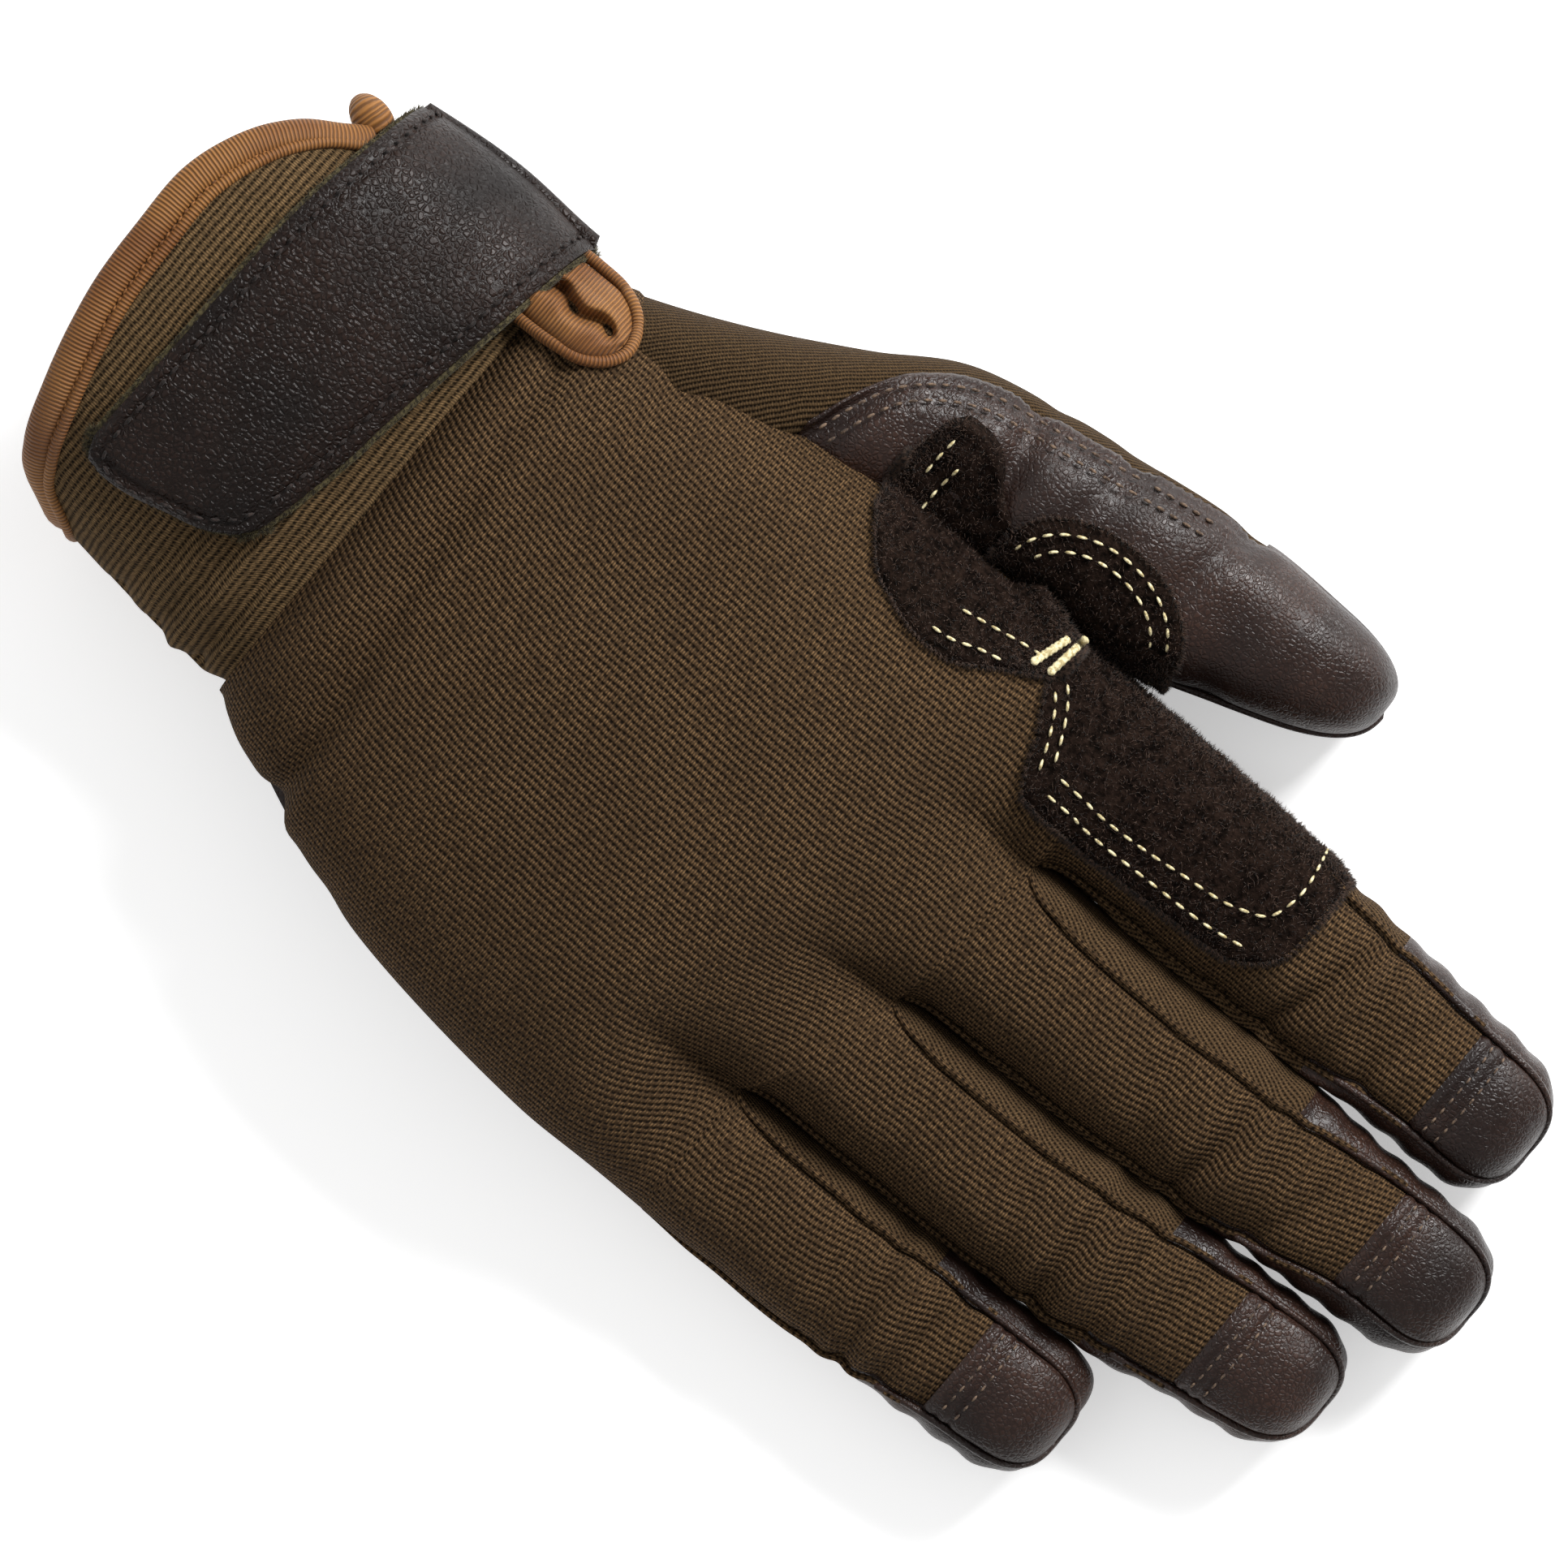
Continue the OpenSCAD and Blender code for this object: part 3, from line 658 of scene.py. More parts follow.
def strip(f: int, q: Array, y: Array, up: bool, d: Array = 0.0) -> Array:
    """Finger f's back or palm strip, its edges drawn to the middle between it and its neighbours.

    The shift is half the distance to the neighbour's edge, falling with the square of the distance across.
    """
    def edge(g: int, share: float) -> Array:
        return DIGITS[g].tube.point(y, DIGITS[g].angle(share, y, up), d)

    place = DIGITS[f].tube.point(y, DIGITS[f].angle(q, y, up), d)
    if f > 0:
        place = place + (edge(f - 1, 1.0) - edge(f, 0.0)) / 2 * ((1 - q) ** 2)[..., None]
    if f < 3:
        place = place + (edge(f + 1, 0.0) - edge(f, 1.0)) / 2 * (q ** 2)[..., None]
    return place


def fork(y: Array, web: Array, length: float = 6.5) -> Array:
    """How far two fingers have parted at y: a quarter circle, so that a web is a U and not a V."""
    t = np.clip((y - web) / length, 0, 1)
    return np.sqrt(np.clip(1 - (1 - t) ** 2, 0, 1))


def web_share(y: Array, web: Array) -> Array:
    """How far the hand's oval has given way to the fingers at y: from 0 up to 1 at the web."""
    return ease((y - web + WEB_BLEND) / WEB_BLEND)


def web_line(f: int, q: Array) -> Array:
    """Where the web stands at the share q across finger f."""
    return mix(WEBS[f], WEBS[f + 1], q)


def wrist_roll(y: Array, a: Array) -> Array:
    """How far the back swells over the cuff at y and angle a: a Gaussian roll that dies out at the sides."""
    return 3.4 * bell(y, WRIST + 5, 5.5) * np.sin(np.radians(np.clip(a, 0, 180))) ** 0.5


def creases(y: Array, q: Array, folds: Sequence[Fold]) -> Array:
    """Folds across a panel: each (place, slant, depth, width) is a Gaussian furrow, deeper to one side."""
    total = np.zeros(np.broadcast(y, q).shape)
    for n, (place, slant, depth, width) in enumerate(folds):
        side = 0.78 + 0.22 * np.sin(3.1 * q + 2.4 * n)
        total -= depth * side * bell(y, place + slant * (q - 0.5), width)
    return total


def cut_edge(near: Array) -> Array:
    """How far a cut edge of suede is rounded down, near millimetres from it."""
    return 0.55 * bell(near, 0, 0.7)


def seam(share: Array, width: float, depth: float = 0.9, reach: float = 1.3) -> Array:
    """The furrow along both long edges of a panel width millimetres across."""
    return -depth * bell(np.minimum(share, 1 - share) * width, 0, reach)


@dataclass(frozen=True)
class Ride:
    """What a piece moves with: one body, or the pair of bodies round a joint and the stretch between them,
    which are only recorded: nothing here bends the piece.
    """

    body: str
    other: Optional[str] = None
    start: tuple[float, float, float] = (0, 0, 0)
    end: tuple[float, float, float] = (0, 0, 0)

    def take(self, piece: bpy.types.Object, *nodes: str) -> bpy.types.Object:
        """Attaches piece to its one body, or for a pair only bakes its placement into its mesh; hides the
        named parts of the frame that it stands in for.
        """
        if self.other:
            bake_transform(piece)
        else:
            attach(piece, self.body)
        if nodes:
            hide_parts(*nodes)
        return piece


def bend(a: str, b: str, at: float, spread: float) -> Ride:
    """The ride of a piece between bodies a and b, spread millimetres either side of y = at; the stretch is
    only recorded, not bent.
    """
    return Ride(a, b, (0, at - spread, 0), (0, at + spread, 0))


THUMB_SWING = bend("hand", "thumb_base", 15, 11)
JOINT_SPREAD = 8.0      # half the stretch over which a middle joint bends, mm
CLOTH = 1.3             # thickness of a panel, mm


def cloth(name: str, make: Grid, look: Look, ride: Ride, nodes: Sequence[str] = (),
          centre: Optional[float] = 0.0, top: float = 0.0, thick: float = CLOTH) -> Array:
    """A closed panel.

    Args:
        name: its name.
        make: its grid of points as a function of the depth below the glove's surface.
        look: its finish.
        ride: what it moves with.
        nodes: the parts of the frame that it stands for.
        centre: the UV map's first coordinate at the middle of each row; without it the map is the plan,
            widened by the slope.
        top: depth of its outer face.
        thick: its thickness.

    Returns:
        Its outer grid.
    """
    outer, inner = make(top), make(top + thick)
    vertices, faces, edges = slab(outer, inner)
    if centre is None:
        uv = np.stack([outer[..., 0] + 0.6 * outer[..., 2], outer[..., 1]], -1).reshape(-1, 2)
    else:
        uv = arc_map(outer, centre)
    ride.take(add_piece(name, vertices, faces, look, np.concatenate([uv, uv]), edges), *nodes)
    return outer


def drape(x: Array, y: Array) -> Array:
    """The height of the glove at a plan position on the thumb's side.

    It is the soft maximum of the hand, which becomes the index finger past the web, and the thumb; past
    their edges both fall away steeply, so the soft maximum bridges the fork between them.
    """
    finger = DIGITS[0].tube
    hand = mix(HAND.height(x, y), finger.height(x, y), web_share(y, WEBS[0]))
    cx, w, _, _ = HAND.section(y)
    tx, tw, _, _ = THUMB.section(y)
    hand = hand - 2.2 * np.clip(cx - w + 1.0 - x, 0, None)
    thumb = THUMB.height(x, y) - 2.2 * np.clip(x - tx - tw + 1.0, 0, None)
    soft = 1.4
    return soft * np.logaddexp(hand / soft, thumb / soft)


def laid(points: Sequence[tuple[float, float]], lift: float, count: int = 60,
         ground: Callable[[Array, Array], Array] = drape) -> Array:
    """A smooth path through plan points, laid lift above the ground, which is the glove's thumb side."""
    plan = np.array(points, float)
    far = lengths(plan)
    at = np.linspace(0, far[-1], count)
    x, y = [curve(at, list(zip(far, plan[:, k]))) for k in (0, 1)]
    return np.stack([x, y, ground(x, y) + lift], -1)


def nap(name: str, grid: Array, look: Look, ride: Ride, count: int, length: float, seed: int,
        width: float = 0.15) -> None:
    """Loose fibres on a panel: thin three-sided spikes, half of them along its edges, leaning outwards.

    Args:
        name: the piece's name.
        grid: (rows, cols, 3) points of the panel's outer face.
        look: the fibres' finish.
        ride: what they move with.
        count: how many.
        length: the longest fibre.
        seed: the random numbers' seed.
        width: a fibre's thickness.
    """
    rng = np.random.default_rng(seed)
    rows, cols = grid.shape[:2]
    r, c = rng.uniform(0, rows - 1.001, count), rng.uniform(0, cols - 1.001, count)
    side = rng.integers(0, 8, count)
    r = np.select([side == 0, side == 1], [0 * r, 0 * r + rows - 1.001], r)
    c = np.select([side == 2, side == 3], [0 * c, 0 * c + cols - 1.001], c)
    i, j = r.astype(int), c.astype(int)
    root = mix(grid[i, j], grid[i + 1, j + 1], ((r - i) / 2 + (c - j) / 2)[:, None])
    normal = unit(np.cross(grid[i + 1, j] - grid[i, j], grid[i, j + 1] - grid[i, j]))
    if normal[:, 2].sum() < 0:
        normal = -normal
    away = unit(root - grid.reshape(-1, 3).mean(0))
    edge = (side < 4)[:, None]
    lean = normal * rng.uniform(0.25, 0.7, (count, 1)) + rng.normal(0, 0.5, (count, 3)) + away * edge * 0.9
    lean = unit(lean)
    tip = root + lean * rng.uniform(0.35, 1, (count, 1)) * length * np.where(edge, 1.3, 1.0)
    first = unit(np.cross(lean, rng.normal(0, 1, (count, 3))))
    second = np.cross(lean, first)
    turn = np.arange(3) * math.tau / 3
    base = root[:, None] - 0.1 * lean[:, None] + width / 2 * (
        first[:, None] * np.cos(turn)[None, :, None] + second[:, None] * np.sin(turn)[None, :, None])
    vertices = np.concatenate([base, tip[:, None]], 1).reshape(-1, 3)
    four = np.array([[0, 1, 3], [1, 2, 3], [2, 0, 3], [0, 2, 1]])
    faces = (np.arange(count)[:, None, None] * 4 + four[None]).reshape(-1, 3)
    ride.take(add_piece(name, vertices, faces, look))


CAP_ROWS = (2.2, 4.6)      # where a cap's two stitch rows lie behind its edge, mm
CAP_THREAD = (2.0, 1.35, 0.19)      # pitch, length and half thickness of its stitches
SEAM_THREAD = (2.3, 1.6, 0.25)
SUEDE_THREAD = (2.6, 1.9, 0.24)


@dataclass
class HandShell:
    """The hand's knitted back and leather palm, from the wrist to the webs."""

    rows: int = 112
    cols: int = 27
    ride: Ride = Ride("hand")
    folds: tuple[Fold, ...] = ((-41, 12, 1.5, 1.9), (-37.5, 12, -0.8, 2.2), (-33, -9, 1.2, 2.6),
                               (-25, 8, 0.7, 3.5))

    def sheet(self, up: bool, d: float) -> Array:
        """The grid of the back or of the palm, d below its surface.

        Rows run from the wrist to the webs. The hand's oval gives way to the four finger strips before the
        webs. The back swells over the cuff in a roll at the wrist.
        """
        places = []
        for f in range(4):
            q = along(self.cols)[:, (1 if f else 0):]
            web = web_line(f, q)
            y = mix(WRIST - (1.5 if up else 0), web, down(self.rows)) + 0 * q
            u = f + q + 0 * y
            over = np.clip(hand_angle(u, True), 0, 180)
            tuck = -3.0 * bell(y, WRIST - 1.5, 1.6) * np.sin(np.radians(over)) ** 0.5
            relief = 0.6 * ripple(u * 25, y, 34, 3) + tuck
            if up:
                relief = relief + creases(y, u / 4, self.folds) + wrist_roll(y, over)
            part = web_share(y, web)
            hand = HAND.point(y, hand_angle(u, up), d - relief * (1 - part))
            places.append(mix(hand, strip(f, q + 0 * y, y, up, d), part[..., None]))
        return np.concatenate(places, 1)

    def build(self) -> None:
        """Makes the back and the palm."""
        cloth("back_panel_jersey", lambda t: self.sheet(True, t), Look.KNIT, self.ride, ["back_panel"], 2.0)
        cloth("palm_panel_leather", lambda t: self.sheet(False, t), Look.GOATSKIN, self.ride, ["palm_panel"])


@dataclass
class FingerShell:
    """One finger of panels: knitted back, side strips, leather front and cap, welts and stitches."""

    digit: Digit
    index: int
    cols: int = 26

    def ride(self, far: bool) -> Ride:
        """The ride of its first length (from the web) or its second (to the tip), between the bodies on
        either side of its joint.
        """
        d = self.digit
        if far:
            return bend(f"{d.name}_base", f"{d.name}_tip", d.joint, JOINT_SPREAD)
        return bend("hand", f"{d.name}_base", d.knuckle, d.spread)

    def folds(self) -> list[Fold]:
        """The back's folds behind, on and past the middle joint, different on each finger."""
        j, n = self.digit.joint, self.index
        return [(j - 14 + 2 * n, 6, 1.2, 3.0), (j - 5 + n, 7 - 3 * n, -1.3, 2.6),
                (j + 1.0 - n, -8 + 4 * n, 2.6, 1.9), (j + 5.5 - n, -2, -1.2, 2.2),
                (j + 10.5 - n, 8 - 4 * n, 2.2, 1.9), (j + 16, -5, 1.2, 2.2),
                (self.digit.knuckle + 5, 4, 1.0, 5.0)]

    def fade(self, y: Array, q: Array) -> Array:
        """0 at the web, rising to 1 over the finger's first millimetres."""
        return ease((y - web_line(self.index, q)) / 12)

    def outermost(self, right: bool) -> bool:
        """Whether this side of the finger is an outer edge of the hand."""
        return self.index == (3 if right else 0)

    def wrinkle(self, y: Array, q: Array) -> Array:
        """The back's folds, which fade out towards the web."""
        return creases(y, q, self.folds()) * self.fade(y, q) * (0.35 + 0.65 * np.sin(math.pi * q))

    def strip_grid(self, far: bool, up: bool, d: float) -> Array:
        """The grid of the back or front of one length, d below its surface."""
        dig = self.digit
        q = along(self.cols)
        if far and not up:
            y, k = dig.tube.end(down(84), dig.middle)
        else:
            top = dig.cap if far else dig.middle
            low = dig.middle if far else web_line(self.index, q)
            y, k = mix(low, top, down(48)), 1.0
        y = y + 0 * q
        width = dig.tube.section(y)[1] * (2.2 if up else 2.0)
        fade = self.fade(y, q)
        relief = seam(q, width) * fade
        if up:
            uneven = 0.3 * ripple(q * 25, y, 16, 11 + self.index) * fade * np.sin(math.pi * q)
            relief = relief + self.wrinkle(y, q) + uneven
        else:
            folds = [(dig.joint + s, 0, 1.0, 1.8) for s in (-6, 0, 6)]
            relief = relief + (creases(y, q, folds) + 0.3 * ripple(q * 25, y, 14, 21 + self.index)) * fade
        own = dig.tube.point(y, dig.angle(q, y, up), d - relief, k)
        if far:
            return own
        part = fork(y, web_line(self.index, q))[..., None]
        return mix(strip(self.index, q + 0 * y, y, up, d), own, part)

    def side_grid(self, right: bool, low: Array, top: float, d: float, closed: bool = False) -> Array:
        """The grid of one side strip between low and top, d below its surface.

        At a web, both neighbours' strips start on the line midway between them. On the hand's two outer
        edges the strip starts as a sliver below the web, where back and palm part.
        """
        dig, f = self.digit, self.index
        s = along(13)
        y, k = dig.tube.end(down(60), low) if closed else (mix(low, top, down(44)), 1.0)
        y = y + 0 * s
        pucker = 0.22 * np.sin(y * 0.9 + 3 * s) * np.sin(math.pi * s) * ease((y - dig.knuckle) / 10)
        relief = seam(s, 13, 0.8, 1.0) * ease((y - WEBS[f]) / 10) - pucker
        relief = relief + self.wrinkle(y, np.array(1.0 if right else 0.0)) * (1 - s)
        own = dig.tube.point(y, dig.wall(s, y, right), d - relief, k)
        web = WEBS[f + right]
        if not self.outermost(right):
            other = f + 1 if right else f - 1
            twin = DIGITS[other].tube.point(y, DIGITS[other].wall(s, y, not right), d)
            meet = 0.93 * np.sin(math.pi * s).clip(0) ** 0.7 * ease((124 - y) / 14)
            meet = meet * np.maximum(ease((y - web - 5) / 12), ease((s - 0.3) / 0.25))
            return mix((own + twin) / 2, own, (fork(y, web) * (1 - meet))[..., None])
        edge, below = [hand_angle(np.array(4.0 if right else 0.0), up) for up in (True, False)]
        hand = HAND.point(y, mix(edge, below - 360 if right else below, s), d)
        return mix(hand, own, web_share(y, web)[..., None])

    def build(self) -> None:
        """Makes every panel of the finger."""
        d, n = self.digit, self.digit.name
        near, far = self.ride(False), self.ride(True)
        centre = float(d.tube.section(np.array(d.middle))[0])
        panels = (("back", True, Look.KNIT, centre), ("front", False, Look.GOATSKIN, 0.0))
        for side, up, look, middle in panels:
            for word, ride, node in (("near", near, "base"), ("far", far, "tip")):
                cloth(f"{n}_{side}_{word}", lambda t: self.strip_grid(ride is far, up, t), look, ride,
                      [f"{n}_{node}_{side}"], middle)
        for right in (False, True):
            word = "right" if right else "left"
            low = WEBS[self.index + right] - (OUTER_START if self.outermost(right) else 0)
            for part, ride, start, end, node in (("near", near, low, d.middle, "base_fourchettes"),
                                                 ("far", far, d.middle, d.side, "tip_sides")):
                cloth(f"{n}_side_{word}_{part}", lambda t: self.side_grid(right, start, end, t),
                      Look.SIDE_KNIT, ride, [] if right else [f"{n}_{node}"])
            cloth(f"{n}_side_{word}_leather", lambda t: self.side_grid(right, d.side, 0, t, True),
                  Look.GOATSKIN, far)
        self.cap(far)
        overlap = 0.5
        seams = (("near", near, None, d.middle + overlap), ("far", far, d.middle - overlap, d.cap))
        for word, ride, low, high in seams:
            vertices, faces, uv = join([self.piping(right, low, high) for right in (False, True)])
            ride.take(add_piece(f"{n}_seam_{word}", vertices, faces, Look.KNIT, uv))

    def piping(self, right: bool, low: Optional[float], top: float) -> tuple[Array, Array, Array]:
        """The rolled seam between the back and a side strip; without low it starts in the web.

        On the hand's outer edges, where there is no web, it swells up slowly from almost nothing.
        """
        share = np.array(1.0 if right else 0.0)
        slow = low is None and self.outermost(right)
        low = WEBS[self.index + right] + 0.4 if low is None else low
        y = mix(low, top, np.linspace(0, 1, 70))
        own = self.digit.tube.point(y, self.digit.angle(share, y, True), -0.25 - self.wrinkle(y, share))
        pull = strip(self.index, share + 0 * y, y, True, -0.25)
        place = mix(pull, own, fork(y, web_line(self.index, share))[..., None])
        return sweep(place, 0.06 + 0.44 * (ease((y - low) / 12) if slow else 1.0), 8)

    def cap_grid(self, d: float, lift: float = 0.5) -> Array:
        """The leather cap, lift above the cloth, its cut edge rolled down onto the knit."""
        dig = self.digit
        q = along(self.cols)
        y, k = dig.tube.end(down(56), dig.cap)
        y = y + 0 * q
        relief = lift - lift * bell(y, dig.cap, 0.7) + seam(q, 22, 1.0, 1.2)
        relief = relief + 0.28 * ripple(q * 25, y, 9, 31 + self.index)
        for row in CAP_ROWS:
            relief = relief - 0.35 * bell(y, dig.cap + row, 0.6)
        return dig.tube.point(y, dig.angle(q, y, True), d - relief, k)

    def cap(self, ride: Ride) -> None:
        """Makes the cap, the welts along its sides and its two rows of stitches."""
        dig, n = self.digit, self.digit.name
        cloth(f"{n}_cap_leather", self.cap_grid, Look.GOATSKIN, ride, [f"{n}_cap"])
        y, k = dig.tube.end(np.linspace(0, 1, 60), dig.side + 4)
        edges = [dig.tube.point(y, dig.angle(np.array(share), y, True), -0.05, k) for share in (0.0, 1.0)]
        welt = sweep(np.concatenate([edges[0], edges[1][-2::-1]]), 0.6, 8, across=(0, 0, 1))
        ride.take(add_piece(f"{n}_welts", *welt[:2], Look.GOATSKIN))
        rows = []
        q = np.linspace(0.09, 0.91, 60)
        for row in CAP_ROWS:
            y = dig.cap + row + 0.5 * np.sin(q * math.pi)
            rows.append(dig.tube.point(y, dig.angle(q, y, True), -0.42))
        ride.take(stitches(f"{n}_cap_stitches", rows, Look.BUFF, *CAP_THREAD))


def stitches(name: str, rows: Sequence[Array], look: Look, pitch: float, length: float,
             radius: float) -> bpy.types.Object:
    """Single stitches along paths: each is a short eight-sided bead, thick in its middle.

    Args:
        name: the piece's name.
        rows: (n, 3) paths.
        look: the thread.
        pitch: distance from stitch to stitch.
        length: length of one stitch.
        radius: half the thread's thickness.

    Returns:
        One piece that holds every stitch.
    """
    parts = []
    for row in rows:
        far = lengths(row)
        for middle in np.arange(pitch / 2, far[-1] - length / 2, pitch):
            at = middle + np.linspace(-0.5, 0.5, 6) * length
            path = np.stack([np.interp(at, far, row[:, k]) for k in range(3)], -1)
            path[:, 2] += radius * np.array([-0.8, 0.4, 0.9, 0.9, 0.4, -0.8])
            parts.append(sweep(path, radius * np.array([0, 0.85, 1, 1, 0.85, 0]), 6))
    return add_piece(name, *join(parts)[:2], look)


@dataclass
class ThumbShell:
    """The thumb: knitted gusset and outer strip, leather front with its double stitch rows, leather end."""

    edge: Points = ((-11.3, -51), (-9, -58), (-6, -64), (-1, -69), (6, -73), (15, -75),
                                             (25, -76.6), (35, -78.6), (45, -80.1), (54, -81.2))
    low: float = -45.0
    middle: float = 34.0
    knit_end: float = 54.5
    near: Ride = THUMB_SWING
    far: Ride = bend("thumb_base", "thumb_tip", 52, JOINT_SPREAD)

    def seam_angle(self, y: Array) -> Array:
        """Where the leather front meets the outer strip: a plan line, then an angle that rises to the tip."""
        inside = THUMB.angle(curve(y, self.edge), y)
        return mix(inside, 170.0, ease((y - 44) / 12))

    def grid(self, d: float, first: Callable[[Array], Array], last: float, low: float, top: float,
             lift: float, cols: int, fold: float) -> Array:
        """A panel's grid.

        Args:
            d: depth.
            first: the angle of its first long edge, as a function of y.
            last: the angle of its other long edge.
            low: where it starts.
            top: where it ends, or 0 to run to the closed tip.
            lift: how far it stands above the thumb's surface.
            cols: points across.
            fold: depth of its creases.

        Returns:
            (rows, cols, 3) points.
        """
        v = down(72)
        y, k = THUMB.end(v, low) if top == 0 else (mix(low, top, v), 1.0)
        s = along(cols)
        y = y + 0 * s
        folds = [(19, 10, 1.5, 2.6), (27, -8, 0.8, 2.2), (36, 12, 0.6, 2.6), (47, -8, 1.0, 2.4),
                 (56, 10, 0.7, 2.6)]
        relief = lift + fold * (creases(y, s, folds) + 0.35 * ripple(s * 30, y, 11, 51))
        relief = relief + seam(s, 30, 0.7, 1.2)
        if lift:
            inset = s * 30
            lip = 0.5 * bell(inset, 1.0, 0.55) + 0.25 * np.sin(y * 3.7) * bell(inset, 1.5, 1.3)
            rows = bell(inset, 2.3, 0.45) + bell(inset, 4.8, 0.45)
            sunk = 2.0 * ease(s / 0.12) * ease((-2 - y) / 7)
            relief = relief + (lip - 0.35 * rows) * ease((54 - y) / 4) - sunk
        return THUMB.point(y, mix(first(y), last, s), d - relief, k)

    def build(self) -> None:
        """Makes the thumb's panels, welts and stitches."""
        inside = ((self.low, -34), (-25, -42)) + self.edge
        seam_line, start, half, knit_end = self.seam_angle, self.edge[0][0], self.middle, self.knit_end
        # name, looks, ride, nodes, plan map; then its first edge, last edge, ends, lift, columns and folds
        panels = (
            ("thumb_gusset_knit", Look.THUMB_KNIT, self.near, ["thumb_gusset", "thumb_back"], None,
             (lambda y: THUMB.angle(curve(y, inside), y) - 9, 300, self.low, half, 0, 60, 0.3)),
            ("thumb_outer_strip", Look.THUMB_KNIT, self.far, (), None,
             (seam_line, 300, half, knit_end, 0, 30, 0.3)),
            ("thumb_front_near", Look.GOATSKIN, self.near, ["thumb_front", "thumb_saddle"], 0.0,
             (seam_line, -50, start, half, 0.7, 44, 1.0)),
            ("thumb_front_far", Look.GOATSKIN, self.far, ["thumb_tip_front"], 0.0,
             (seam_line, 8, half, 0, 0.7, 36, 0.8)),
            ("thumb_inner_side", Look.GOATSKIN, self.far, (), 0.0,
             (lambda y: 8 + 0 * y, -62, half, 0, 0.5, 20, 0.5)),
            ("thumb_end_back", Look.GOATSKIN, self.far, ["thumb_cap"], 0.0,
             (seam_line, 298, knit_end - 1, 0, 0.6, 36, 0.5)))
        for name, look, ride, nodes, centre, shape in panels:
            cloth(name, lambda t: self.grid(t, *shape), look, ride, nodes, centre)
        self.sew()

    def sew(self) -> None:
        """Makes the welts and the double rows of stitches along the leather's edge."""
        y, k = THUMB.end(np.linspace(0, 1, 80), 50.0)
        welt = sweep(THUMB.point(y, np.array(8.0), -0.6, k), 0.55, 8)
        self.far.take(add_piece("thumb_welt", *welt[:2], Look.GOATSKIN))
        line = np.array([(x, y) for y, x in self.edge[:-1]])
        ahead = unit(np.gradient(line, axis=0))
        inwards = np.stack([ahead[:, 1], -ahead[:, 0]], -1)
        near, far = [], []
        for inset in (1.8, 4.2):
            path = laid(line + inset * inwards, 1.15, 160)
            near.append(path[path[:, 1] < self.middle])
            far.append(path[path[:, 1] >= self.middle])
        self.near.take(stitches("thumb_front_stitches", near, Look.BUFF, *SEAM_THREAD))
        self.far.take(stitches("thumb_front_stitches_far", far, Look.BUFF, *SEAM_THREAD))


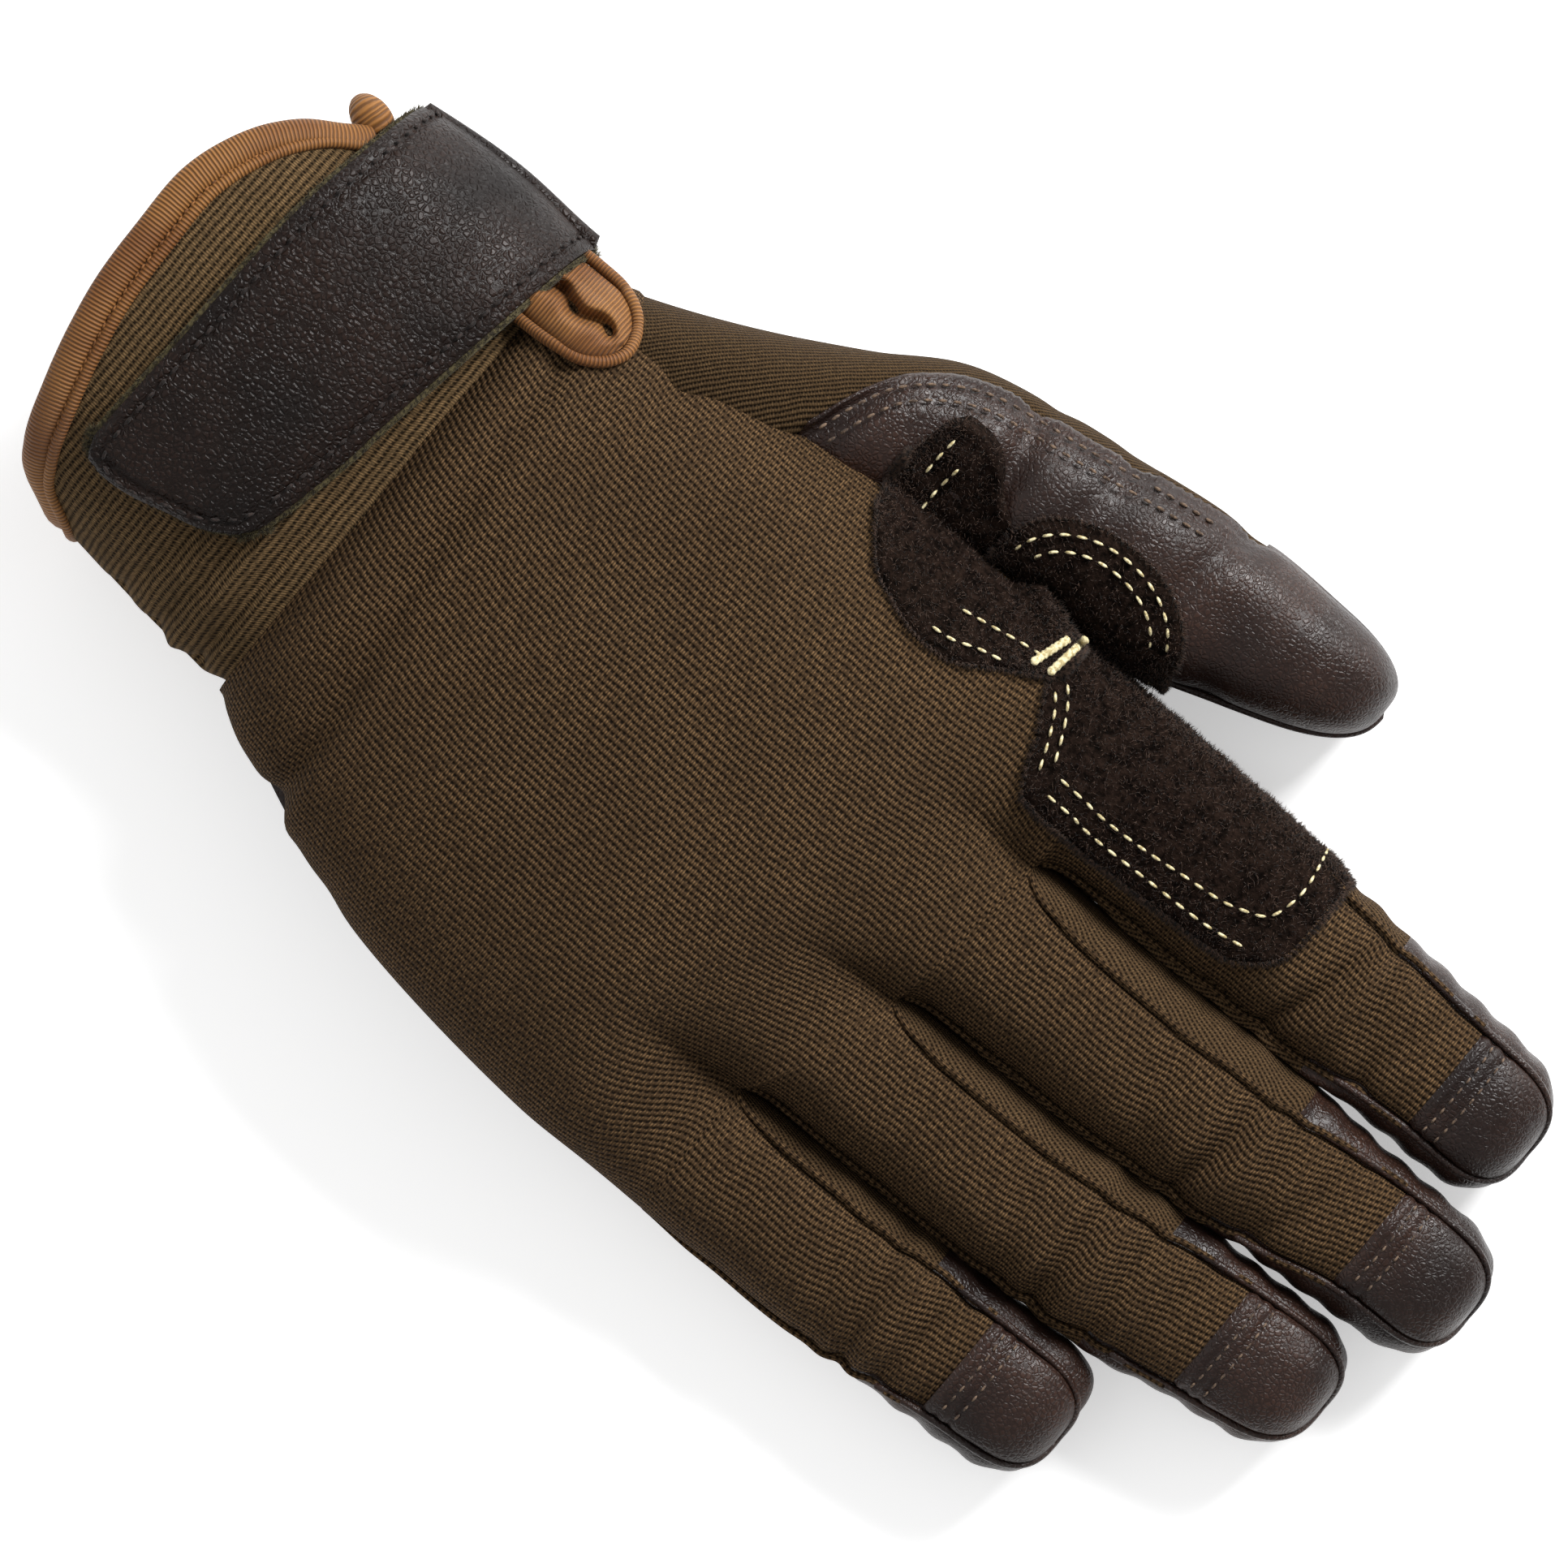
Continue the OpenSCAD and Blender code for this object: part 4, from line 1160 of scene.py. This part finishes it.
@dataclass
class Saddle:
    """The suede: a saddle over the fork with a lobe on the index finger, and a patch on the thumb."""

    lift: float = 1.0                             # how far the suede stands above what it lies on
    thumb_lift: float = 0.7                       # how far the thumb's leather stands above its tube
    ends: tuple[float, float] = (3.4, 42.0)       # where the lower lobe starts and ends along Y
    left: Points = ((3.4, -58), (4.2, -63), (6, -66.5), (9, -67.6), (12, -67.4), (15, -65.5), (17.5, -62.5),
                    (22, -60), (30, -56.8), (36, -53.4), (42, -51.2))
    right: Points = ((3.4, -53), (4.2, -49), (6, -46), (10, -41), (16, -38), (22, -36.5), (28, -37),
                     (33, -40), (38, -43), (42, -45.5))
    oval: tuple[float, float, float, float] = (-54.5, 38.8, 13.0, 16.3)    # the thumb patch: centre, reach

    def lobe(self, t: float) -> Array:
        """The lower lobe over the fork: rows of constant y between its two outlines, laid on the glove.

        The thumb's edge stays up, as a fold does, and drops steeply; its lower corner curls up in a hump.
        """
        y = mix(*self.ends, crowded(72))
        s = along(56)
        x = mix(curve(y, self.left), curve(y, self.right), s)
        y = y + 0 * s
        return np.stack([x, y, self.lobe_height(x, y) - t], -1)

    def lobe_height(self, x: Array, y: Array) -> Array:
        """The height of the lower lobe's face: the glove's, plus its fold, hump, lip and unevenness."""
        left, right = curve(y, self.left), curve(y, self.right)
        inside = x - left
        held = left + 6 - 0.35 * np.clip(6 - inside, 0, None) + np.clip(inside - 6, 0, None)
        fold = 1.6 * bell(inside, 2.0, 1.8) * ease((42 - y) / 10) - 3.4 * bell(inside, 0, 0.8)
        hump = 2.8 * bell(x, -62.5, 4.0) * bell(y, 10.5, 5.0) + 0.8 * ease((12 - y) / 6)
        dent = 0.7 * bell(x, -56.8, 1.7) * bell(y, 13, 6.5)
        edge = cut_edge(np.minimum(right - x, y - self.ends[0]))
        return drape(held, y) + self.lift + fold + hump - dent - edge + 0.3 * ripple(x, y, 7, 61)

    def tack_ground(self, x: Array, y: Array) -> Array:
        """The height of the lobe, or past its edges that of leather laid on the glove."""
        return np.maximum(self.lobe_height(x, y), drape(x, y) + self.lift)

    @staticmethod
    def finger_skin(y: Array, p: Array, d: Array) -> Array:
        """The index finger's back and thumb side, which become the hand's below the web.

        Args:
            y: place along the finger.
            p: 0 at the back's seam beside the middle finger, 1 at its other seam, 2 at the palm's seam.
            d: depth.

        Returns:
            Points on the same surface as the panels.
        """
        dig = DIGITS[0]
        q, share = np.clip(1 - p, 0, 1), np.clip(p - 1, 0, 1)
        own = dig.tube.point(y, np.where(p < 1, dig.angle(q, y, True), dig.wall(share, y, False)), d)
        twin = DIGITS[1].tube.point(y, DIGITS[1].angle(np.array(0.0), y, True), d)
        shift = (twin - dig.tube.point(y, dig.angle(np.array(1.0), y, True), d)) / 2 * (q ** 2)[..., None]
        hand = HAND.point(y, hand_angle(q, True) + 4 * share, d)
        own = own + shift * (1 - fork(y, web_line(0, q)))[..., None]
        return mix(hand, own, web_share(y, web_line(0, q))[..., None])

    def at_plan(self, x: Array, y: Array) -> Array:
        """The p at which finger_skin stands over plan position x, found by halving its range 24 times."""
        low = np.zeros(np.broadcast(x, y).shape)
        high = low + 1.5
        for _ in range(24):
            middle = (low + high) / 2
            right = self.finger_skin(y, middle, 0.0)[..., 0] > x
            low, high = np.where(right, middle, low), np.where(right, high, middle)
        return (low + high) / 2

    def row(self, points: Sequence[tuple[float, float]], lift: float) -> Array:
        """A smooth path through plan points, laid lift above the finger."""
        plan = laid(points, 0.0, 120)
        x, y = plan[:, 0], plan[:, 1]
        return self.finger_skin(y, self.at_plan(x, y), np.array(-lift))

    def upper(self, t: float) -> Array:
        """The upper lobe: from a plan line on the finger's back round to the palm side, rounded at its end.

        Its lower edge follows a plan line too; the y of each column's foot is found by repeated substitution.
        """
        s = along(64)
        v = down(84)
        line = ((40, -28), (49, -28), (54, -27.6), (60, -28), (70, -28.6), (80, -29), (88, -29.6),
                (96, -30.5))
        foot = ((-60, 41), (-52, 41), (-45, 41), (-42, 42), (-36, 45.5), (-31, 47.5), (-28, 49.5), (-26, 50))
        low = 46 + 0 * s
        for _ in range(8):
            side = mix(self.at_plan(curve(low, line), low), 1.9, s)
            low = curve(self.finger_skin(low, side, 0.0)[..., 0], foot)
        high = 95.5 - 7.5 * np.clip(1 - s / 0.16, 0, 1) ** 2.2 - 5.5 * ease((s - 0.55) / 0.3)
        y = mix(low, high, v)
        near = np.minimum(np.minimum(s, 1 - s) * 48, np.minimum(y - low, high - y))
        relief = self.lift - cut_edge(near) + 0.3 * ripple(s * 40, y, 8, 62)
        return self.finger_skin(y, mix(self.at_plan(curve(y, line), y), 1.9, s), t - relief)

    def thumb_patch(self, t: float) -> Array:
        """The D-shaped patch on the thumb: its round side is half an oval in plan."""
        cx, cy, wide, tall = self.oval
        y = mix(cy - tall, cy + tall - 0.1, crowded(44))
        s = along(30)
        reach = np.sqrt(np.clip(1 - ((y - cy) / tall) ** 2, 0.0, 1)) ** 0.8
        first = THUMB.angle(cx - wide * reach, y)
        relief = self.thumb_lift + self.lift - cut_edge(s * 24) + 0.2 * ripple(s * 24, y, 7, 63)
        return THUMB.point(y + 0 * s, mix(first, -8.0, s), t - relief)

    def build(self) -> None:
        """Makes the three patches, their stitches, tacks and nap."""
        hand = Ride("hand")
        finger = bend("hand", "index_base", DIGITS[0].knuckle, DIGITS[0].spread)
        lower = cloth("saddle_lower_lobe", self.lobe, Look.SUEDE, hand, ["saddle_patch"], thick=0.9)
        upper = cloth("saddle_upper_lobe", self.upper, Look.SUEDE, finger, ["index_patch"], thick=0.9)
        patch = cloth("thumb_suede_patch", self.thumb_patch, Look.SUEDE, THUMB_SWING, ["thumb_patch"],
                      thick=0.9)
        nap("saddle_lower_nap", lower, Look.NAP, hand, 12000, 1.2, 71)
        nap("saddle_upper_nap", upper, Look.NAP, finger, 20000, 1.3, 72)
        nap("thumb_patch_nap", patch, Look.NAP, THUMB_SWING, 6000, 1.1, 73)
        proud = 0.25
        rows = (((-60, 10.5), (-56, 10), (-51, 10)), ((-63, 7.3), (-59, 7), (-54, 7)),
                ((-46.5, 38.5), (-45.8, 34), (-45, 30), (-43.5, 22)),
                ((-42, 34), (-41, 30), (-39.5, 26), (-39, 22)))
        paths = [laid(row, proud, 60, self.lobe_height) for row in rows]
        hand.take(stitches("saddle_lower_stitches", paths, Look.CREAM, *SUEDE_THREAD))
        rows = (((-45, 43.3), (-43, 45.2), (-40, 47.2), (-34.5, 50)),
                ((-43, 42.6), (-41, 44.4), (-38, 46.2), (-32, 49)),
                ((-33.9, 51.5), (-33.8, 58), (-34.1, 66), (-35, 75), (-36.5, 85), (-38.5, 89.3), (-42, 90.6),
                 (-51, 89.8)),
                ((-30.9, 51.5), (-31, 60), (-31.4, 72), (-32, 84), (-33.2, 91)))
        paths = [self.row(row, self.lift + proud) for row in rows]
        finger.take(stitches("saddle_upper_stitches", paths, Look.CREAM, *SUEDE_THREAD))
        cx, cy, wide, tall = self.oval
        turn = np.radians(np.linspace(70, 290, 90))
        paths = []
        for inset in (2.0, 4.6):
            x, y = cx + (wide - inset) * np.cos(turn), cy + (tall - inset) * np.sin(turn)
            paths.append(np.stack([x, y, THUMB.height(x, y) + self.thumb_lift + self.lift + proud], -1))
        THUMB_SWING.take(stitches("thumb_patch_stitches", paths, Look.CREAM, *SUEDE_THREAD))
        thick = 0.66 + 0.09 * np.sin(np.arange(24) * 2.2)
        tacks = [sweep(laid(row, 0.45, 24, self.tack_ground), thick, 8, flat=0.7)
                 for row in (((-52.8, 41.4), (-44.8, 40.4)), ((-51, 39.4), (-44.4, 37.4)))]
        hand.take(add_piece("saddle_bar_tacks", *join(tacks)[:2], Look.CREAM))


CUFF_EDGE = ((-182, -85), (-90, -86), (-20, -88), (0, -88.5), (10, -89.5), (16, -91.5), (21, -94), (34, -97),
             (53, -99.7), (70, -102.1), (83, -103.6), (93, -104.1), (107, -104.1), (118, -102.3), (130, -99),
             (139, -95), (144, -91.5), (150, -88.5), (160, -86), (180, -85))


@dataclass
class Cuff:
    """The ribbed cuff, its tan binding, the slit on the thumb's side and the wrist elastic."""

    slit: tuple[float, float] = (150.0, 178.0)
    ride: Ride = Ride("hand")
    folds: tuple[Fold, ...] = ((-57.2, 3, 2.2, 1.2), (-60, 7, -1.0, 1.4), (-62.5, 10, 1.9, 1.3),
                               (-68, 14, 1.2, 1.7))

    def wall(self, t: float) -> Array:
        """The cuff's sheet, from one edge of the slit round to the other; it swells between its ends."""
        a = np.linspace(self.slit[0], self.slit[1] - 360, 220)[None]
        v = down(60)
        y = mix(curve(a, CUFF_EDGE), WRIST + 4, v)
        free = ease(np.sin(np.radians(a)) + 0.6)
        swell = (0.8 * np.sin(math.pi * v) ** 2 + 0.5 * ripple(a * 0.7, y, 26, 81)) * free
        swell = swell + creases(y, a / 180, self.folds) * (a > 0)
        tuck = -2.2 * ease((y - WRIST + 6) / 6)
        return HAND.point(y, a + 0 * y, t - swell - tuck)

    def tape(self, y: Array, a: Array, d: Array, radius: float, flat: float) -> tuple[Array, Array, Array]:
        """A length of binding on the cuff, through (y, a) and d below its surface, as an oval roll."""
        path = HAND.point(y, a, d)
        out = path - HAND.point(y, a, d + 1)
        return sweep(path, radius, 14, flat, np.cross(np.gradient(path, axis=0), out))

    def build(self) -> None:
        """Makes the cuff's wall, its bindings and the elastic."""
        cloth("cuff_rib_knit", self.wall, Look.CUFF_KNIT, self.ride, ["cuff_back", "cuff_palm"])
        a = np.linspace(self.slit[0] + 1, self.slit[1] - 361, 420)
        edge = curve(a, CUFF_EDGE)
        pressed = np.clip(-np.sin(np.radians(a)), 0, 1) ** 2
        rolls = join([self.tape(edge - 0.2, a, 0.5 + 0.9 * pressed, 2.5, 0.62),
                      self.tape(edge + 3.1, a, 0.8 * pressed - 0.15, 0.95, 0.9)])
        self.ride.take(add_piece("cuff_binding_tape", *rolls[:2], Look.BINDING, rolls[2]), "cuff_binding")
        row = HAND.point(edge + 2.2, a, 0.7 * pressed - 0.25)
        self.ride.take(stitches("cuff_binding_stitches", [row], Look.TAN, 1.5, 1.15, 0.22))
        self.slit_binding()
        ring = np.linspace(0, 360, 181)[None]
        y = mix(WRIST - 9, WRIST - 3, np.linspace(0, 1, 9))[:, None]
        cloth("wrist_elastic_band", lambda t: HAND.point(y, ring, t + 0 * y), Look.ELASTIC, self.ride,
              ["wrist_elastic"], top=4.2, thick=0.9)

    def cushion(self, t: float) -> Array:
        """The slit's closed end: two fat lips of tape drawn together, inside a half-oval outline."""
        v = down(64)
        s = along(49)
        y = -39.6 - 17 * v + 0 * s
        reach = np.sqrt(1 - (1 - np.clip(v / 0.42, 0, 1)) ** 2)
        x = mix(-41.6 - 6.0 * reach, -41.6 + 6.2 * reach, s)
        dome = 3.6 * np.sin(math.pi * s).clip(0) ** 0.5 * reach
        middle = 0.5 + 0.05 * np.sin(y * 0.75)
        groove = 4.6 * bell(s, middle, 0.1) * ease((v - 0.06) / 0.16)
        pucker = 0.35 * np.sin(y * 1.9 + 7 * s) * bell(s, middle, 0.25)
        return np.stack([x, y, self.ground(x, y) + 0.9 + dome - groove + pucker - t], -1)

    @staticmethod
    def ground(x: Array, y: Array) -> Array:
        """The height of the hand, carried on gently past its left edge."""
        top = HAND.height(np.maximum(x, -45.0), y) - 0.45 * np.clip(-45.0 - x, 0, None)
        return top + wrist_roll(y, HAND.angle(x, y))

    def slit_binding(self) -> None:
        """Makes the slit's two bound edges, its puckered closed end and the knob where its tape ends."""
        y = np.linspace(-88, -52, 60)
        parts = [self.tape(y, angle + 0 * y, -0.3, 1.7, 0.8) for angle in self.slit]
        rim = ((-48.2, -57), (-48.6, -50), (-48.2, -45), (-46.4, -41.2), (-43.6, -39.1), (-41, -38.6),
               (-38.4, -39.8), (-36, -43), (-35, -48), (-34.6, -57))
        parts.append(sweep(laid(rim, 1.2, 90, self.ground), 0.95, 12))
        knob = np.array([(-42.5, -87, 29), (-43.2, -89.5, 31), (-43.8, -92, 31), (-44.4, -94.6, 29)])
        thick = 3.0 * np.sin(np.linspace(0.25, math.pi, 16)) ** 0.5
        parts.append(sweep(resample(knob, 16), thick, 14, flat=0.8))
        vertices, faces, uv = join(parts)
        self.ride.take(add_piece("slit_binding_tape", vertices, faces, Look.BINDING, uv), "slit_binding")
        grid = self.cushion(0.0)
        vertices, faces, edges = slab(grid, self.cushion(1.2))
        uv = np.stack(np.broadcast_arrays(-grid[..., 1], np.linspace(0, 12, 49)[None]), -1).reshape(-1, 2)
        uv = np.concatenate([uv, uv])
        self.ride.take(add_piece("slit_binding_end", vertices, faces, Look.BINDING, uv, edges))


@dataclass
class Strap:
    """The wrist strap: leather over olive tape, sewn down on the thumb's side and closed on the back."""

    high: Points = ((42, -72), (50, -67.5), (58, -65.4), (66, -63.6), (81, -61), (94, -59), (120, -56),
                    (172, -52.5))
    low: Points = ((42, -91.5), (66, -91), (81, -90.5), (112, -89.5), (140, -87.5), (172, -86))
    slant: Points = ((0, 67), (0.03, 63.5), (0.1, 60.3), (0.4, 54.3), (0.7, 50.6), (0.88, 50.8),
                     (0.96, 52.5), (1, 57))
    hinge: float = 172.0
    outer: float = -4.3
    ride: Ride = Ride("strap")

    def grid(self, t: float, grow: float = 0.0, drop: float = 0.0) -> Array:
        """The strap's face.

        Args:
            t: depth below the hand's surface.
            grow: how far it reaches past the leather's outline.
            drop: how far its edges are rounded down.

        Returns:
            (across, along, 3) points; its free end is slanted, with rounded corners.
        """
        c = down(48)
        s = along(120)
        a = mix(self.hinge, curve(c, self.slant) - grow * 0.9, s)
        y = mix(curve(a, self.high) + grow, curve(a, self.low) - grow, c)
        width = np.minimum(np.minimum(c, 1 - c) * 30, (1 - s) * 75)
        wave = 0.9 * np.sin(a * 0.06) * ease((0.35 - c) / 0.35) + 0.4 * ripple(a * 0.7, y, 24, 91)
        groove = 0.8 * drop * bell(width, 2.4, 0.5)
        return HAND.point(y, a, t + drop * bell(width, 0, 0.7) + groove - wave)

    def build(self) -> None:
        """Makes the strap, its lining, stitches and fibres, and the pieces that it closes on."""
        cloth("strap_leather", lambda t: self.grid(t, 0, 0.6), Look.STRAP, self.ride, ["strap"],
              top=self.outer)
        lining = cloth("strap_lining", lambda t: self.grid(t, 0.8, 0.3), Look.TAPE, self.ride, ["hook_patch"],
                       top=self.outer + CLOTH, thick=0.9)
        edges = (("far", lining[:3], 1500, 92), ("near", lining[-3:], 1500, 93),
                 ("end", lining[:, -3:], 700, 94))
        for word, edge, count, seed in edges:
            nap(f"strap_fringe_{word}", edge, Look.TAPE, self.ride, count, 1.3, seed, 0.12)
        inset = self.grid(self.outer + 0.05, -2.4, 0)
        rows = [inset[0], inset[-1], inset[:, -1]]
        self.ride.take(stitches("strap_stitches", rows, Look.BROWN, 2.6, 1.8, 0.27))
        hand = Ride("hand")
        a = np.linspace(118, 62, 60)[None]
        c = down(30)
        patch = mix(curve(a, self.high) - 4, curve(a, self.low) + 4, c)
        cloth("cuff_loop_tape", lambda t: HAND.point(patch, a, t), Look.TAPE, hand, ["loop_patch"], top=-2.0,
              thick=0.8)
        low, high, depth = -86.0, -52.8, -3.4
        around = np.linspace(230, 170, 50)[None]
        cloth("strap_sewn_end", lambda t: HAND.point(mix(low, high, c), around, t), Look.STRAP, hand,
              ["strap_anchor"], top=depth, thick=1.4)
        fold = HAND.point(np.linspace(low, high, 60), np.array(self.hinge + 0.5), depth)
        hand.take(add_piece("strap_fold", *sweep(fold, 1.6, 14)[:2], Look.STRAP))


def palm_patch() -> None:
    """The suede under the palm: a flat plate inside |x/a|^3.6 + |y/b|^3.6 = 1, with a rounded rim."""
    turn = np.linspace(0, math.tau, 145)[None]
    k = down(40)
    p = 2 / 3.6
    x, y = 0.5 + 35.5 * power(np.cos(turn), p) * k, -5.5 + 34.5 * power(np.sin(turn), p) * k
    z = 0.35 * bell((1 - k) * 35, 0, 0.6) + 0 * x
    outer, inner = np.stack([x, y, z], -1), np.stack([x, y, 1.2 + 0 * z], -1)
    vertices, faces, edges = slab(outer, inner)
    Ride("hand").take(add_piece("palm_suede_patch", vertices, faces, Look.SUEDE, None, edges), "palm_patch")


# ---- Studio ----
@dataclass
class Studio:
    """A pale floor, a large soft light from the upper right and a camera straight above."""

    centre: tuple[float, float] = (-6.85, 20.7)
    view_width: float = 235.7
    distance: float = 2.0
    focus: float = 22.0     # height at which the view is view_width wide
    right: tuple[float, float] = (-0.643, 0.766)
    sensor: float = 36.0
    floor_size: float = 3.0         # metres
    floor_height: float = -0.2      # just below the glove's lowest cloth
    paper: float = 0.93
    glow: float = 0.44
    sky: float = 0.5
    # name, place to the right, up and above in metres, size and power
    lamps: tuple = (("key", 0.7, 0.72, 0.72, 0.5, 25.0), ("fill", -0.9, 0.1, 1.2, 1.2, 3.0))

    def build(self) -> None:
        """Makes the floor, the lights, the world and the camera."""
        scene = bpy.context.scene
        bpy.ops.mesh.primitive_plane_add(size=self.floor_size, location=(0, 0, self.floor_height * MM))
        floor = bpy.context.object
        floor.name = "floor"
        g = Graph("Seamless_paper", roughness=0.9)
        g.shader.inputs["Base Color"].default_value = (self.paper, self.paper, self.paper, 1)
        g.shader.inputs["Emission Color"].default_value = (1, 1, 1, 1)
        g.shader.inputs["Emission Strength"].default_value = self.glow
        floor.data.materials.append(g.material)
        world = scene.world or bpy.data.worlds.new("world")
        scene.world = world
        world.use_nodes = True
        sky = world.node_tree.nodes["Background"].inputs
        sky["Color"].default_value = (1, 1, 1, 1)
        sky["Strength"].default_value = self.sky
        right = Vector((*self.right, 0)).normalized()
        up = Vector((-right.y, right.x, 0))
        middle = Vector((self.centre[0] * MM, self.centre[1] * MM, 0))
        for name, side, rise, height, size, watts in self.lamps:
            lamp = bpy.data.lights.new(name, "AREA")
            lamp.size, lamp.energy = size, watts
            light = bpy.data.objects.new(name, lamp)
            light.location = middle + right * side + up * rise + Vector((0, 0, height))
            light.rotation_euler = (middle - light.location).to_track_quat("-Z", "Y").to_euler()
            scene.collection.objects.link(light)
        lens = bpy.data.cameras.new("camera")
        lens.sensor_width = self.sensor
        lens.lens = self.sensor * (self.distance - self.focus * MM) / (self.view_width * MM)
        camera = bpy.data.objects.new("camera", lens)
        turn = Matrix((right, up, Vector((0, 0, 1)))).transposed().to_4x4()
        camera.matrix_world = Matrix.Translation(middle + Vector((0, 0, self.distance))) @ turn
        scene.collection.objects.link(camera)
        scene.camera = camera
        scene.view_settings.view_transform = "Standard"


def main() -> None:
    """Builds the glove, piece by piece, and its studio."""
    logging.basicConfig(level=logging.INFO, format="%(name)s %(message)s")
    Studio().build()
    HandShell().build()
    for f, digit in enumerate(DIGITS):
        FingerShell(digit, f).build()
    ThumbShell().build()
    Saddle().build()
    Cuff().build()
    Strap().build()
    palm_patch()
    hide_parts("web_fourchettes")


if __name__ == "__main__":
    main()
